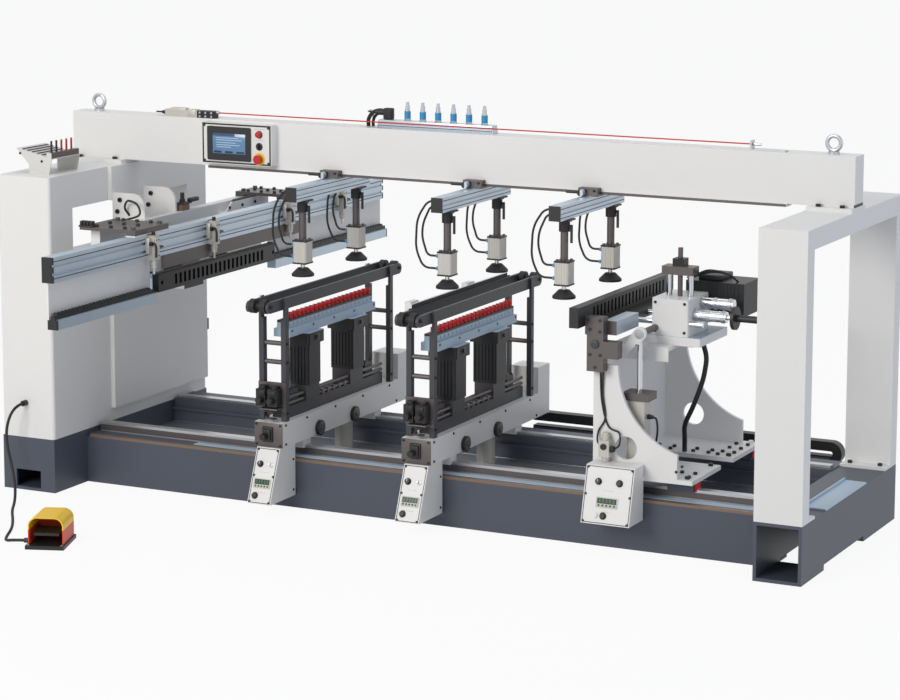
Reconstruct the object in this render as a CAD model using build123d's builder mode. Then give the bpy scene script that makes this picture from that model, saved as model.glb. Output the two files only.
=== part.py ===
"""Line boring machine: two stands, a bed, a cross beam and its drilling units."""
from build123d import *
import math
import os

os.makedirs("parts", exist_ok=True)

# General sheet, bolt and clearance sizes
sheet = 5.0
tube_wall = 8.0
part_gap = 0.3
running_gap = 0.05
bolt_head_radius = 9.0
bolt_head_height = 10.0
small_bolt_radius = 5.0
small_bolt_height = 6.0
bend_share = 0.45

# Stands and bases
machine_length = 3235.0
stand_depth = 1100.0
base_height = 208.0
left_stand_width = 235.0
left_stand_height = 1008.0
stand_corner = 14.0
cover_rise = 17.0
cover_front = 396.0
window_front = 152.0
window_rear = 944.0
window_bottom = 870.0
window_top = 1084.0
cover_bottom_rise = 52.0
fork_pocket_left = 58.0
fork_pocket_width = 112.0
fork_pocket_bottom = 12.0
fork_pocket_height = 68.0
base_wall = 10.0
right_stand_width = 175.0
right_stand_front = 35.0
right_stand_rear = 1065.0
right_leg_depth = 68.0
right_top_band = 71.0
right_base_wall = 12.0
relief_front = 270.0
relief_rear = 700.0
relief_height = 20.0
foot_flange_thickness = 10.0
foot_flange_rear_reach = 60.0
tread_front = 280.0
tread_rear = 720.0
tread_width = 85.0
tread_thickness = 6.0
tread_lip = 14.0

# Cable gland and plug of the left stand
gland_x = 109.0
gland_z = 343.0
gland_radius = 11.0
gland_length = 22.0
plug_z = 450.0
plug_x = 180.0
plug_size = 46.0
plug_depth = 40.0

# Bed
front_beam_front = 222.0
front_beam_depth = 158.0
front_beam_height = 188.0
front_beam_top_wall = 18.0
rear_beam_front = 850.0
rear_beam_depth = 150.0
rear_beam_height = 212.0
rear_ledge_depth = 15.0
rear_ledge_top = 178.0
rear_ledge_thickness = 9.0
pan_top = 118.0
pan_thickness = 8.0
rail_level = 224.0
rail_width = 35.0
front_rail_offset = 78.0
rear_rail_offset = 12.0
rail_end_gap = 10.0
rack_width = 18.0
rack_thickness = 10.0
tape_offset = 28.0
tape_width = 40.0
tape_thickness = 1.5
tape_start = 700.0

# Cross beam and what it carries
beam_front = 512.0
beam_depth = 90.0
beam_height = 180.0
beam_wall = 6.0
beam_foot_thickness = 16.0
beam_foot_front_reach = 30.0
beam_foot_rear_reach = 24.0
left_foot_length = 241.0
right_foot_length = 168.0
foot_bolt_inset = 40.0
eye_inset = 95.0
eye_ring_radius = 25.0
eye_wire_radius = 7.5
eye_collar_radius = 20.0
eye_collar_height = 10.0
eye_sink = 4.0
presser_rail_left = 624.0
presser_rail_right = 2987.0
presser_rail_width = 55.0
presser_rail_thickness = 10.0
presser_rail_overhang = 7.0
cap_thickness = 3.0

# Operator panel
panel_left = 621.0
panel_width = 308.0
panel_height = 159.0
panel_bottom_rise = 14.0
panel_depth = 44.0
panel_corner = 6.0
bezel_width = 192.0
bezel_height = 130.0
bezel_left_margin = 27.0
bezel_thickness = 6.0
screen_width = 147.0
screen_height = 79.0
screen_recess = 2.0
control_column_x = 876.0
lamp_rise = 121.0
selector_rise = 75.0
estop_rise = 27.0
lamp_radius = 11.0
lamp_length = 14.0
estop_plate_radius = 24.0
estop_plate_thickness = 3.0
estop_head_radius = 17.0
estop_head_length = 12.0
estop_stem_radius = 9.0
estop_stem_length = 30.0
estop_travel = 5.0
selector_radius = 11.0
selector_length = 6.0
selector_grip_width = 6.0
selector_grip_length = 9.0

# Rope switch on the beam
rope_switch_left = 428.0
rope_switch_length = 222.0
rope_switch_height = 28.0
rope_switch_depth = 32.0
plunger_radius = 6.0
plunger_length = 40.0
plunger_inside = 25.0
wire_radius = 2.5
wire_rise = 22.0
hook_left = 2845.0
hook_length = 131.0
hook_height = 36.0
hook_thickness = 6.0
wire_sleeve_radius = 5.0
wire_sleeve_length = 30.0

# Air manifold
manifold_left = 1350.0
manifold_length = 480.0
manifold_depth = 42.0
manifold_height = 16.0
fitting_first_x = 1466.0
fitting_pitch = 64.0
fitting_count = 6
fitting_base_radius = 9.0
fitting_base_height = 22.0
fitting_collar_radius = 12.0
fitting_collar_height = 28.0
fitting_tip_radius = 6.0
fitting_tip_height = 35.0
elbow_x = 1395.0
elbow_radius = 11.0
elbow_height = 52.0
elbow_reach = 60.0
air_hose_radius = 3.5
air_hose_drop = 100.0
air_hose_lead = 40.0
air_hose_sweep = 60.0

# Tool rack on the left stand
rack_front = 80.0
rack_depth = 190.0
rack_plate = 3.0
rack_left = 90.0
rack_left_height = 36.0
rack_peak_x = 34.0
rack_peak_height = 95.0
rack_lip_x = 195.0
rack_lip_height = 62.0
rack_right = 181.0
bit_strip_width = 22.0
bit_strip_height = 16.0
bit_count = 5
bit_pitch = 33.0
bit_first = 20.0
bit_radius = 4.0
bit_length = 44.0
bit_inside = 12.0

# Energy chain behind the heads
chain_front = 1152.0
chain_width = 42.0
chain_left = 1715.0
chain_right = 2950.0
chain_upper_bottom = 207.0
chain_thickness = 36.0
chain_lower_bottom = 152.0
chain_tray_wall = 3.0
chain_tray_height = 30.0
chain_arm_count = 3
chain_arm_inset = 120.0

# Level of the panel that is being drilled
support_level = 815.0
hole_pitch = 32.0
spindle_count = 21
spindle_first_y = 240.0

# Drilling heads under the panel
saddle_bottom = 248.0
saddle_half_width = 59.0
saddle_front = 126.0
saddle_rear = 1036.0
saddle_height = 94.0
saddle_deck = 12.0
saddle_side = 6.0
front_plate_thickness = 8.0
front_plate_inset = 6.0
apron_rear = 285.0
apron_thickness = 10.0
rear_box_length = 106.0
rear_box_height = 197.0
carriage_half_width = 50.0
carriage_margin = 10.0
carriage_skirt = 10.0
lock_front_y = 391.0
lock_rear_y = 666.0
lock_rise = 26.0
lock_radius = 29.5
lock_thickness = 12.0
hanging_cylinder_y = 694.0
hanging_cylinder_radius = 35.0
hanging_cylinder_bottom = 128.0
slide_front = 205.0
slide_rear = 950.0
slide_half_width = 33.0
slide_height = 45.0
bush_block_height = 58.0
bush_block_depth = 60.0
front_bush_y = 262.0
rear_bush_y = 850.0
bush_half_width = 26.0
guide_radius = 10.0
guide_bottom_gap = 5.0

# Control boxes
control_box_width = 98.0
control_box_shift = 6.0
control_box_rear = 218.0
control_box_bottom = 50.0
control_box_top_y = 107.0
control_box_bottom_y = 29.0
control_bezel_width = 56.0
control_bezel_height = 34.0
control_bezel_rise = 78.0
control_bezel_relief = 3.0
knob_radius = 9.0
knob_length = 12.0
knob_axle_radius = 4.0
knob_axle_inside = 20.0
knob_rise = 150.0
knob_side = 22.0
low_knob_rise = 32.0

# Panel support frames of the heads
upright_half_width = 57.0
upright_lower_thickness = 20.0
upright_upper_thickness = 10.0
front_upright_y = 149.0
front_upright_depth = 25.0
rear_upright_y = 975.0
rear_upright_depth = 23.0
notch_level = 730.0
upright_top = 810.0
bar_thickness = 11.0
bar_end_flat = 0.03
bar_bottom = 764.0
bar_height = 42.0
roller_front_y = 60.0
roller_rear_y = 1070.0
roller_radius = 26.5
roller_width = 22.0
roller_centre = 23.0
roller_shaft_radius = 6.0
roller_hub_radius = 12.0
tie_bar_radius = 9.0
front_tie_upper = 635.0
front_tie_lower = 564.0
rear_tie_upper = 626.0
rear_tie_lower = 557.0
valve_plate_thickness = 6.0
valve_plate_bottom = 390.0
valve_plate_top = 490.0
valve_body_width = 40.0
valve_body_depth = 42.0
valve_bottom = 405.0
valve_height = 64.0
valve_dome_radius = 14.0
valve_dome_height = 12.0
valve_side = 24.0
fence_strip_thickness = 10.0
fence_strip_bottom = 790.0
fence_strip_top = 822.0
fence_ear_length = 62.0
fence_ear_width = 24.0
fence_ear_front_inset = 10.0
fence_ear_rear_inset = 330.0
fence_ear_rise = 6.0

# Drill blocks of the heads
gear_front = 220.0
gear_rear = 892.0
gear_bottom = 647.0
gear_lower_half_width = 34.0
gear_step = 678.0
gear_upper_half_width = 20.0
gear_top = 710.0
chuck_shift = 6.0
chuck_radius = 10.0
chuck_height = 23.0
shank_radius = 5.0
shank_depth = 20.0
motor_half_width = 49.0
motor_depth = 102.0
motor_front_y = 330.0
motor_rear_y = 675.0
motor_bottom = 446.0
motor_flange_bottom = 602.0
motor_flange_margin = 10.0
motor_corner = 10.0
motor_fin_depth = 3.0
motor_fin_width = 4.0
motor_fin_count = 6
motor_seat_half_width = 40.0

# Heads along the bed
head_1_x = 1112.0
head_2_x = 1729.0

# Pressers under the cross beam
presser_1_x = 1172.0
presser_2_x = 1774.0
presser_3_x = 2239.0
arm_width = 45.0
arm_height = 54.0
arm_front = 190.0
arm_rear = 763.0
arm_slot = 8.0
arm_slot_depth = 6.0
arm_cap_thickness = 4.0
clamp_pad = 7.0
clamp_half_width = 38.0
clamp_front = 478.0
clamp_rear = 590.0
clamp_jaw_height = 13.0
clamp_knob_radius = 12.0
clamp_knob_length = 30.0
clamp_lever_radius = 5.0
clamp_lever_length = 60.0
clamp_knob_shift = 18.0
column_a_y = 277.0
column_b_y = 691.0
column_flange_width = 60.0
column_flange_thickness = 6.0
column_radius = 14.0
column_length = 145.0
press_cylinder_width = 55.0
press_cylinder_height = 88.0
press_cylinder_corner = 5.0
press_top_plate = 6.0
press_rod_radius = 8.0
press_rod_inside = 66.0
press_rod_free = 17.0
press_foot_radius = 42.0
press_foot_neck_radius = 20.0
press_foot_height = 30.0
press_foot_rim = 8.0
press_hose_radius = 4.0
press_fitting_radius = 7.0
press_fitting_length = 16.0
press_upper_fitting_drop = 20.0
press_lower_fitting_rise = 22.0
press_inner_reach = 60.0
press_outer_reach = 86.0
press_hose_start_share = 0.63
press_hose_top_share = 0.93
press_hose_end_share = 0.4
press_inner_entry = 12.0
press_outer_entry = 30.0
press_hose_rise = 66.0
press_bolt_share = 0.7

# Side drilling unit, fence and rails on the left
fence_face_x = 620.0
fence_width = 46.0
fence_bottom_rise = 110.0
fence_height = 92.0
fence_groove_count = 2
fence_front = -540.0
fence_rear = 1945.0
fence_slot = 10.0
fence_slot_depth = 8.0
fence_lip = 4.0
roll_rail_front = -530.0
roll_rail_rear = 1965.0
roll_rail_left = 594.0
roll_rail_width = 34.0
roll_rail_height = 35.0
roll_strip_height = 13.0
roll_wheel_radius = 10.0
roll_strip_width = 16.0
roll_tooth_pitch = 22.0
comb_front = 137.0
comb_rear = 1000.0
comb_plate_thickness = 28.0
comb_bottom_drop = 25.0
comb_height = 73.0
comb_gap = 8.0
comb_slot_width = 16.0
comb_slot_height = 40.0
comb_slot_depth = 14.0
comb_first_slot = 259.0
comb_hole_radius = 8.0
comb_end_hole = 24.0
comb_rear_hole = 13.0
comb_strip_height = 5.0
gearbox_depth = 75.0
gearbox_front_inset = 20.0
gearbox_height = 48.0
side_motor_length = 95.0
side_motor_front = 480.0
side_motor_depth = 140.0
side_motor_height = 96.0
slide_rod_radius = 12.0
slide_rod_length = 190.0
slide_rod_rise = 34.0
slide_boss_radius = 22.0
slide_boss_length = 50.0
slide_rod_front = 300.0
slide_rod_rear = 830.0
carrier_left = 380.0
carrier_width = 40.0
carrier_front = 60.0
carrier_rear = 1245.0
carrier_bottom_drop = 12.0
carrier_top_rise = 205.0
carrier_sheet = 6.0
bridge_arm_front_y = 405.0
bridge_arm_rear_y = 950.0
bridge_arm_depth = 40.0
bridge_arm_height = 60.0
nose_plate_thickness = 12.0
nose_front_y = 400.0
nose_rear_y = 620.0
nose_top = 1115.0
nose_bottom = 1000.0
nose_radius = 60.0
mount_plate_thickness = 12.0
mount_plate_level = 1030.0
mount_plate_left = 370.0
mount_plate_margin = 4.0
near_plate_front = 0.0
near_plate_rear = 230.0
far_plate_front = 1110.0
far_plate_rear = 1250.0
plate_bolt_inset = 24.0
gusset_left = 447.0
gusset_thickness = 6.0
gusset_front = 905.0
gusset_slope_end = 975.0
gusset_height = 55.0
lock_block_front = 645.0
lock_block_depth = 55.0
lock_block_width = 30.0
lock_block_height = 25.0
lock_rod_radius = 8.0
lock_rod_height = 45.0
apron_thickness = 6.0
flat_bar_front = 186.0
flat_bar_rear = 1231.0
flat_bar_thickness = 12.0
flat_bar_drop = 52.0
stop_y_1 = 95.0
stop_y_2 = 525.0
stop_y_3 = 1113.0
stop_y_4 = 1550.0
stop_body_width = 34.0
stop_body_depth = 30.0
stop_body_drop = 3.0
stop_body_height = 92.0
stop_neck_radius = 11.0
stop_neck_length = 32.0
stop_rod_radius = 5.0
stop_rod_free = 23.0
stop_rod_inside = 60.0
stop_travel = 30.0
stop_clamp_width = 16.0
stop_screw_radius = 7.0
stop_screw_length = 14.0
stop_lever_radius = 4.0
stop_lever_length = 42.0

# Side drilling unit on the right, its frame
right_plate_front_y = 225.0
right_plate_rear_y = 865.0
right_plate_thickness = 14.0
right_plate_left = 2380.0
right_plate_neck = 2473.0
right_plate_top = 660.0
right_plate_curve_x = 2569.0
right_plate_curve_z = 436.0
right_plate_toe = 2702.0
right_plate_toe_top = 359.0
right_plate_hole_x = 2507.0
right_plate_hole_z = 366.0
right_plate_hole_radius = 42.0
right_base_bottom = 256.0
right_base_thickness = 16.0
right_base_right = 2760.0
right_bolt_column = (right_plate_toe + right_base_right) / 2
right_front_base_length = 277.0
right_rear_base_front = 626.0
right_rear_base_length = 285.0
right_web_thickness = 12.0
right_bolt_inset = 26.0
shelf_bottom = 694.0
shelf_thickness = 14.0
shelf_right = 2600.0
shelf_front = 380.0
shelf_rear = 700.0
shelf_flange = 52.0
post_shelf_length = 50.0
post_shelf_half_depth = 30.0
right_carriage_inset = 20.0
filter_x = 2418.0
filter_width = 40.0
filter_depth = 40.0
filter_bottom = 334.0
filter_height = 60.0
filter_bowl_radius = 14.0
filter_cap_height = 18.0

# Control box of the right unit
right_box_left = 2393.0
right_box_width = 185.0
right_box_bottom = 115.0
right_box_top = 315.0
right_box_low_y = 91.0
right_box_high_y = 142.0
right_box_bezel_width = 84.0
right_knob_side = 40.0

# Lift cylinder, guide posts and screw of the right unit
lift_x = 2525.0
lift_y = 300.0
lift_cylinder_width = 66.0
lift_cylinder_height = 258.0
lift_cylinder_corner = 8.0
lift_clamp_height = 28.0
lift_clamp_half_width = 50.0
lift_clamp_half_depth = 40.0
lift_rod_radius = 10.0
lift_rod_inside = 60.0
post_radius = 11.0
post_left_x = 2545.0
post_right_x = 2627.0
post_y = 520.0
head_block_bottom = 952.0
head_block_height = 30.0
head_block_half_width = 60.0
head_block_half_depth = 30.0
nut_half_width = 22.0
nut_height = 28.0
screw_radius = 9.0
screw_top = 1048.0

# Housing, motor and feed of the right unit
housing_left = 2509.0
housing_right = 2650.0
housing_front = 440.0
housing_rear = 640.0
housing_bottom = 739.0
housing_top = 872.0
housing_corner = 8.0
carrier_plate_right = 2700.0
carrier_plate_margin = 10.0
lever_eye_z = 766.0
lever_eye_radius = 24.0
lever_thickness = 14.0
lever_toe_x = 2466.0
lever_toe_z = 700.0
lever_toe_radius = 12.0
lever_shaft_radius = 12.0
right_motor_left = 2560.0
right_motor_right = 2785.0
right_motor_rear = 800.0
right_motor_bottom = 790.0
right_motor_top = 911.0
feed_cylinder_radius = 20.0
feed_cylinder_right = 2775.0
feed_cylinder_y = 500.0
feed_cylinder_z = 812.0
upper_cylinder_y = 570.0
upper_cylinder_z = 846.0
hand_disc_x = 2800.0
hand_disc_radius = 42.0
hand_disc_thickness = 12.0
hand_shaft_radius = 9.0
handle_radius = 13.0
handle_right = 2960.0
feed_rod_radius = 10.0
feed_rod_front_y = 458.0
feed_rod_rear_y = 620.0
feed_rod_end = 50.0
feed_rod_rise = 17.0

# Spindle beam of the right unit
right_comb_left = 2330.0
right_comb_width = 35.0
right_comb_front = 120.0
right_comb_length = 880.0
right_comb_bottom_drop = 15.0
right_comb_height = 72.0
right_first_slot = 258.0
right_slot_width = 14.0
right_slot_height = 44.0
right_slot_depth = 12.0
gear_bar_left = 2340.0
gear_bar_right = 2420.0
gear_bar_front = 260.0
gear_bar_length = 700.0
gear_bar_height = 32.0
bracket_front = 180.0
bracket_depth = 40.0
bracket_right = 2435.0
bracket_top = 835.0
bracket_foot = 640.0
bracket_step = 770.0
bracket_leg_left = 2372.0
pivot_block_width = 56.0
pivot_block_bottom = 690.0
pivot_block_top = 750.0
air_profile_width = 48.0
air_profile_bottom = 768.0
air_profile_height = 50.0
air_profile_rear = 420.0

# Hose bundle of the right unit
bundle_radius = 9.0
bundle_clip_depth = 30.0
bundle_clip_y = 600.0
bundle_clip_reach = 60.0
bundle_x = 2645.0
bundle_bulge = 17.0
bundle_upper_z = 640.0
bundle_middle_x = 2650.0
bundle_middle_z = 560.0
bundle_lower_z = 455.0
bundle_lower_x = 2612.0
bundle_turn_x = 2572.0
bundle_turn_y = 612.0
bundle_turn_z = 380.0
bundle_end_x = 2560.0
bundle_end_y = 650.0
bundle_end_z = 320.0

# Foot pedal and its cord
pedal_x = 645.0
pedal_y = -621.0
pedal_turn = 20.0
pedal_length = 180.0
pedal_width = 140.0
pedal_base_height = 14.0
hood_width = 128.0
hood_length = 150.0
hood_height = 98.0
hood_corner = 34.0
hood_wall = 4.0
hood_rear_inset = 8.0
treadle_width = 92.0
treadle_length = 96.0
treadle_thickness = 10.0
treadle_rise = 34.0
treadle_rear_inset = 40.0
treadle_hinge_radius = 6.0
hinge_ear = 8.0
relief_radius = 9.0
relief_length = 20.0
relief_centre = 15.0
relief_along = 20.0
cord_radius = 5.5
cord_rest_level = 6.0
cord_lead = 38.0
cord_loop_x_1 = 98.0
cord_loop_y_1 = -92.0
cord_loop_z_1 = 310.0
cord_loop_x_2 = 84.0
cord_loop_y_2 = -98.0
cord_loop_z_2 = 250.0
cord_loop_x_3 = 92.0
cord_loop_y_3 = -104.0
cord_loop_z_3 = 190.0
cord_drop_x_1 = 118.0
cord_drop_y_1 = -112.0
cord_drop_z_1 = 115.0
cord_drop_x_2 = 150.0
cord_drop_y_2 = -138.0
cord_drop_z_2 = 46.0
cord_floor_x_1 = 190.0
cord_floor_y_1 = -200.0
cord_floor_x_2 = 255.0
cord_floor_y_2 = -310.0
cord_floor_x_3 = 346.0
cord_floor_y_3 = -430.0
cord_floor_x_4 = 412.0
cord_floor_y_4 = -530.0
cord_floor_x_5 = 462.0
cord_floor_y_5 = -634.0
cord_floor_x_6 = 489.0
cord_floor_y_6 = -676.0

# Levels that follow from the sizes above
stand_top = base_height + left_stand_height
beam_bottom = stand_top + beam_foot_thickness
beam_top = beam_bottom + beam_height
beam_rear = beam_front + beam_depth
front_beam_rear = front_beam_front + front_beam_depth
rear_beam_rear = rear_beam_front + rear_beam_depth
right_stand_left = machine_length - right_stand_width
saddle_top = saddle_bottom + saddle_height
deck_bottom = saddle_top - saddle_deck
fence_bottom = support_level + fence_bottom_rise
fence_top = fence_bottom + fence_height
comb_bottom = support_level - comb_bottom_drop
comb_top = comb_bottom + comb_height
arm_top = beam_bottom - presser_rail_thickness - clamp_pad
right_base_top = right_base_bottom + right_base_thickness
right_comb_right = right_comb_left + right_comb_width
right_comb_bottom = support_level - right_comb_bottom_drop
gear_bar_bottom = right_comb_bottom - gear_bar_height
pedal_cosine = math.cos(math.radians(pedal_turn))
pedal_sine = math.sin(math.radians(pedal_turn))
pedal_reach = pedal_length / 2 * pedal_cosine + pedal_width / 2 * pedal_sine

# Middle of the machine's outline, which is the origin of the part
centre_x = machine_length / 2
centre_y = (pedal_y - pedal_reach + roll_rail_rear) / 2


def at(x, y, z):
    """Place given from the left stand's front corner, seen from the part's origin."""
    return (x - centre_x, y - centre_y, z)


def level_plane(z):
    """Plane that looks up, with sketch axes along X and Y."""
    return Plane(origin=at(0, 0, z))


def front_plane(y):
    """Plane that looks to the front, with sketch axes along X and Z."""
    return Plane(origin=at(0, y, 0), x_dir=(1, 0, 0), z_dir=(0, -1, 0))


def side_plane(x):
    """Plane that looks to the right, with sketch axes along Y and Z."""
    return Plane(origin=at(x, 0, 0), x_dir=(0, 1, 0), z_dir=(1, 0, 0))


def block(x0, x1, y0, y1, z0, z1, mode=Mode.ADD):
    """Rectangular block between two limits on each axis."""
    with Locations(at((x0 + x1) / 2, (y0 + y1) / 2, (z0 + z1) / 2)):
        Box(x1 - x0, y1 - y0, z1 - z0, mode=mode)


def rounded_block(x0, x1, y0, y1, z0, z1, corner, mode=Mode.ADD):
    """Block with its upright edges rounded."""
    with BuildSketch(level_plane(z0)) as outline:
        with Locations(((x0 + x1) / 2, (y0 + y1) / 2)):
            RectangleRounded(x1 - x0, y1 - y0, corner)
    extrude(outline.sketch, amount=z1 - z0, mode=mode)


def face_block(x0, x1, y0, y1, z0, z1, corner, mode=Mode.ADD):
    """Block with its edges along Y rounded."""
    with BuildSketch(front_plane(y1)) as outline:
        with Locations(((x0 + x1) / 2, (z0 + z1) / 2)):
            RectangleRounded(x1 - x0, z1 - z0, corner)
    extrude(outline.sketch, amount=y1 - y0, mode=mode)


def side_block(x0, x1, y0, y1, z0, z1, corner, mode=Mode.ADD):
    """Block with its edges along X rounded."""
    with BuildSketch(side_plane(x0)) as outline:
        with Locations(((y0 + y1) / 2, (z0 + z1) / 2)):
            RectangleRounded(y1 - y0, z1 - z0, corner)
    extrude(outline.sketch, amount=x1 - x0, mode=mode)


def bar_x(x0, x1, y, z, radius, mode=Mode.ADD):
    """Round bar along X."""
    with Locations(at((x0 + x1) / 2, y, z)):
        Cylinder(radius, x1 - x0, rotation=(0, 90, 0), mode=mode)


def bar_y(y0, y1, x, z, radius, mode=Mode.ADD):
    """Round bar along Y."""
    with Locations(at(x, (y0 + y1) / 2, z)):
        Cylinder(radius, y1 - y0, rotation=(90, 0, 0), mode=mode)


def post(z0, z1, x, y, radius, mode=Mode.ADD):
    """Round bar along Z."""
    with Locations(at(x, y, (z0 + z1) / 2)):
        Cylinder(radius, z1 - z0, mode=mode)


def plate(plane, points, amount, mode=Mode.ADD):
    """Flat plate with straight edges, drawn on a plane and thickened."""
    with BuildSketch(plane) as outline:
        with BuildLine():
            Polyline(*points, close=True)
        make_face()
    extrude(outline.sketch, amount=amount, mode=mode)


def bolt_heads(places, z, radius=bolt_head_radius, height=bolt_head_height):
    """Round bolt heads standing on a level face."""
    for x, y in places:
        post(z, z + height, x, y, radius)


def bend_radii(points):
    """Largest even bend at each inner point of a hose or cord."""
    radii = []
    for before, corner, after in zip(points, points[1:], points[2:]):
        arriving = Vector(*corner) - Vector(*before)
        leaving = Vector(*after) - Vector(*corner)
        turn = math.radians(arriving.get_angle(leaving))
        shorter = min(arriving.length, leaving.length)
        radii.append(bend_share * shorter / math.tan(turn / 2))
    return radii


def tube(name, points, radius):
    """Round hose or cord of straight runs joined by bends."""
    radii = bend_radii(points)
    with BuildLine():
        route = FilletPolyline(*[at(*point) for point in points], radius=radii)
    with BuildSketch(Plane(origin=route @ 0, z_dir=route % 0)) as section:
        Circle(radius)
    sweep(section.sketch, path=route)
    print(name, "bend radii", [round(value) for value in radii])
    return math.pi * radius**2 * route.length


def finish(builder, name):
    """Label a finished sub-part and write its file."""
    builder.part.label = name
    export_step(builder.part, f"parts/{name}.step")


def make_left_base():
    """Welded base box with a pocket for a lifting fork right through it."""
    pocket_right = fork_pocket_left + fork_pocket_width
    pocket_top = fork_pocket_bottom + fork_pocket_height
    inner_right = left_stand_width - base_wall
    inner_rear = stand_depth - base_wall
    inner_top = base_height - base_wall
    with BuildPart() as left_base:
        block(0, left_stand_width, 0, stand_depth, 0, base_height)
        block(base_wall, inner_right, base_wall, inner_rear, base_wall, inner_top, Mode.SUBTRACT)
        block(
            fork_pocket_left, pocket_right, -base_wall, stand_depth + base_wall,
            fork_pocket_bottom, pocket_top, Mode.SUBTRACT,
        )
    finish(left_base, "left_base")


def make_left_stand():
    """Sheet tower with a window right through it, its cable gland and plug."""
    inner_face = left_stand_width + cover_rise
    cover_rear = stand_depth - stand_corner
    cover_bottom = base_height + cover_bottom_rise
    front_limit = window_front - sheet
    rear_limit = window_rear + sheet
    low_limit = window_bottom - sheet
    high_limit = window_top + sheet
    with BuildPart() as left_stand:
        rounded_block(0, left_stand_width, 0, stand_depth, base_height, stand_top, stand_corner)
        block(left_stand_width, inner_face, cover_front, cover_rear, cover_bottom, stand_top)
        rounded_block(
            sheet, left_stand_width - sheet, sheet, stand_depth - sheet,
            base_height, stand_top - sheet, stand_corner - sheet, Mode.SUBTRACT,
        )
        block(
            sheet, inner_face - sheet, cover_front + sheet, cover_rear - sheet,
            cover_bottom + sheet, stand_top - sheet, Mode.SUBTRACT,
        )
        block(0, left_stand_width, front_limit, rear_limit, low_limit, high_limit)
        block(left_stand_width, inner_face, cover_front, rear_limit, low_limit, high_limit)
        block(
            -sheet, inner_face + sheet, window_front, window_rear,
            window_bottom, window_top, Mode.SUBTRACT,
        )
        bar_y(-gland_length, 0, gland_x, gland_z, gland_radius)
        block(
            plug_x, plug_x + plug_size, stand_depth, stand_depth + plug_depth,
            plug_z, plug_z + plug_size,
        )
    finish(left_stand, "left_stand")


def make_right_base():
    """Base tube with open ends, a relief under it and a tread plate on it."""
    wall = right_base_wall
    tread_left = machine_length - tread_width
    with BuildPart() as right_base:
        block(
            right_stand_left, machine_length, right_stand_front, right_stand_rear, 0, base_height
        )
        block(
            right_stand_left + wall, machine_length - wall, right_stand_front - wall,
            right_stand_rear + wall, wall, base_height - wall, Mode.SUBTRACT,
        )
        block(
            right_stand_left - wall, machine_length + wall, relief_front, relief_rear,
            -relief_height, relief_height, Mode.SUBTRACT,
        )
        block(
            tread_left, machine_length, tread_front, tread_rear,
            base_height, base_height + tread_thickness,
        )
        block(
            tread_left, tread_left + tread_thickness, tread_front, tread_rear,
            base_height, base_height + tread_lip,
        )
    finish(right_base, "right_base")


def make_right_stand():
    """Open arch of sheet tube with a bolted flange under each leg."""
    left = right_stand_left
    front_leg_rear = right_stand_front + right_leg_depth
    rear_leg_front = right_stand_rear - right_leg_depth
    band_bottom = stand_top - right_top_band
    flange_top = base_height + foot_flange_thickness
    flange_front = front_leg_rear + foot_flange_rear_reach
    flange_rear = rear_leg_front - foot_flange_rear_reach
    bolt_x = (left + foot_flange_rear_reach / 2, machine_length - foot_flange_rear_reach / 2)
    bolt_y = ((front_leg_rear + flange_front) / 2, (rear_leg_front + flange_rear) / 2)
    with BuildPart() as right_stand:
        block(left, machine_length, right_stand_front, front_leg_rear, base_height, stand_top)
        block(left, machine_length, rear_leg_front, right_stand_rear, base_height, stand_top)
        block(left, machine_length, right_stand_front, right_stand_rear, band_bottom, stand_top)
        block(left, machine_length, right_stand_front, flange_front, base_height, flange_top)
        block(left, machine_length, flange_rear, right_stand_rear, base_height, flange_top)
        for y0, y1 in ((right_stand_front, front_leg_rear), (rear_leg_front, right_stand_rear)):
            block(
                left + sheet, machine_length - sheet, y0 + sheet, y1 - sheet,
                base_height, stand_top - sheet, Mode.SUBTRACT,
            )
        block(
            left + sheet, machine_length - sheet, right_stand_front + sheet,
            right_stand_rear - sheet, band_bottom + sheet, stand_top - sheet, Mode.SUBTRACT,
        )
        bolt_heads([(x, y) for x in bolt_x for y in bolt_y], flange_top)
    finish(right_stand, "right_stand")


def make_front_bed_beam():
    """Front bed tube with a step along its upper front edge for the rack."""
    with BuildPart() as front_bed_beam:
        block(
            left_stand_width, right_stand_left, front_beam_front, front_beam_rear,
            0, front_beam_height,
        )
        block(
            left_stand_width - tube_wall, right_stand_left + tube_wall,
            front_beam_front + tube_wall, front_beam_rear - tube_wall,
            tube_wall, front_beam_height - front_beam_top_wall, Mode.SUBTRACT,
        )
        block(
            left_stand_width - tube_wall, right_stand_left + tube_wall,
            front_beam_front - tube_wall, front_beam_front + rack_width,
            front_beam_height - rack_thickness, front_beam_height + tube_wall, Mode.SUBTRACT,
        )
    finish(front_bed_beam, "front_bed_beam")


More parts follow.
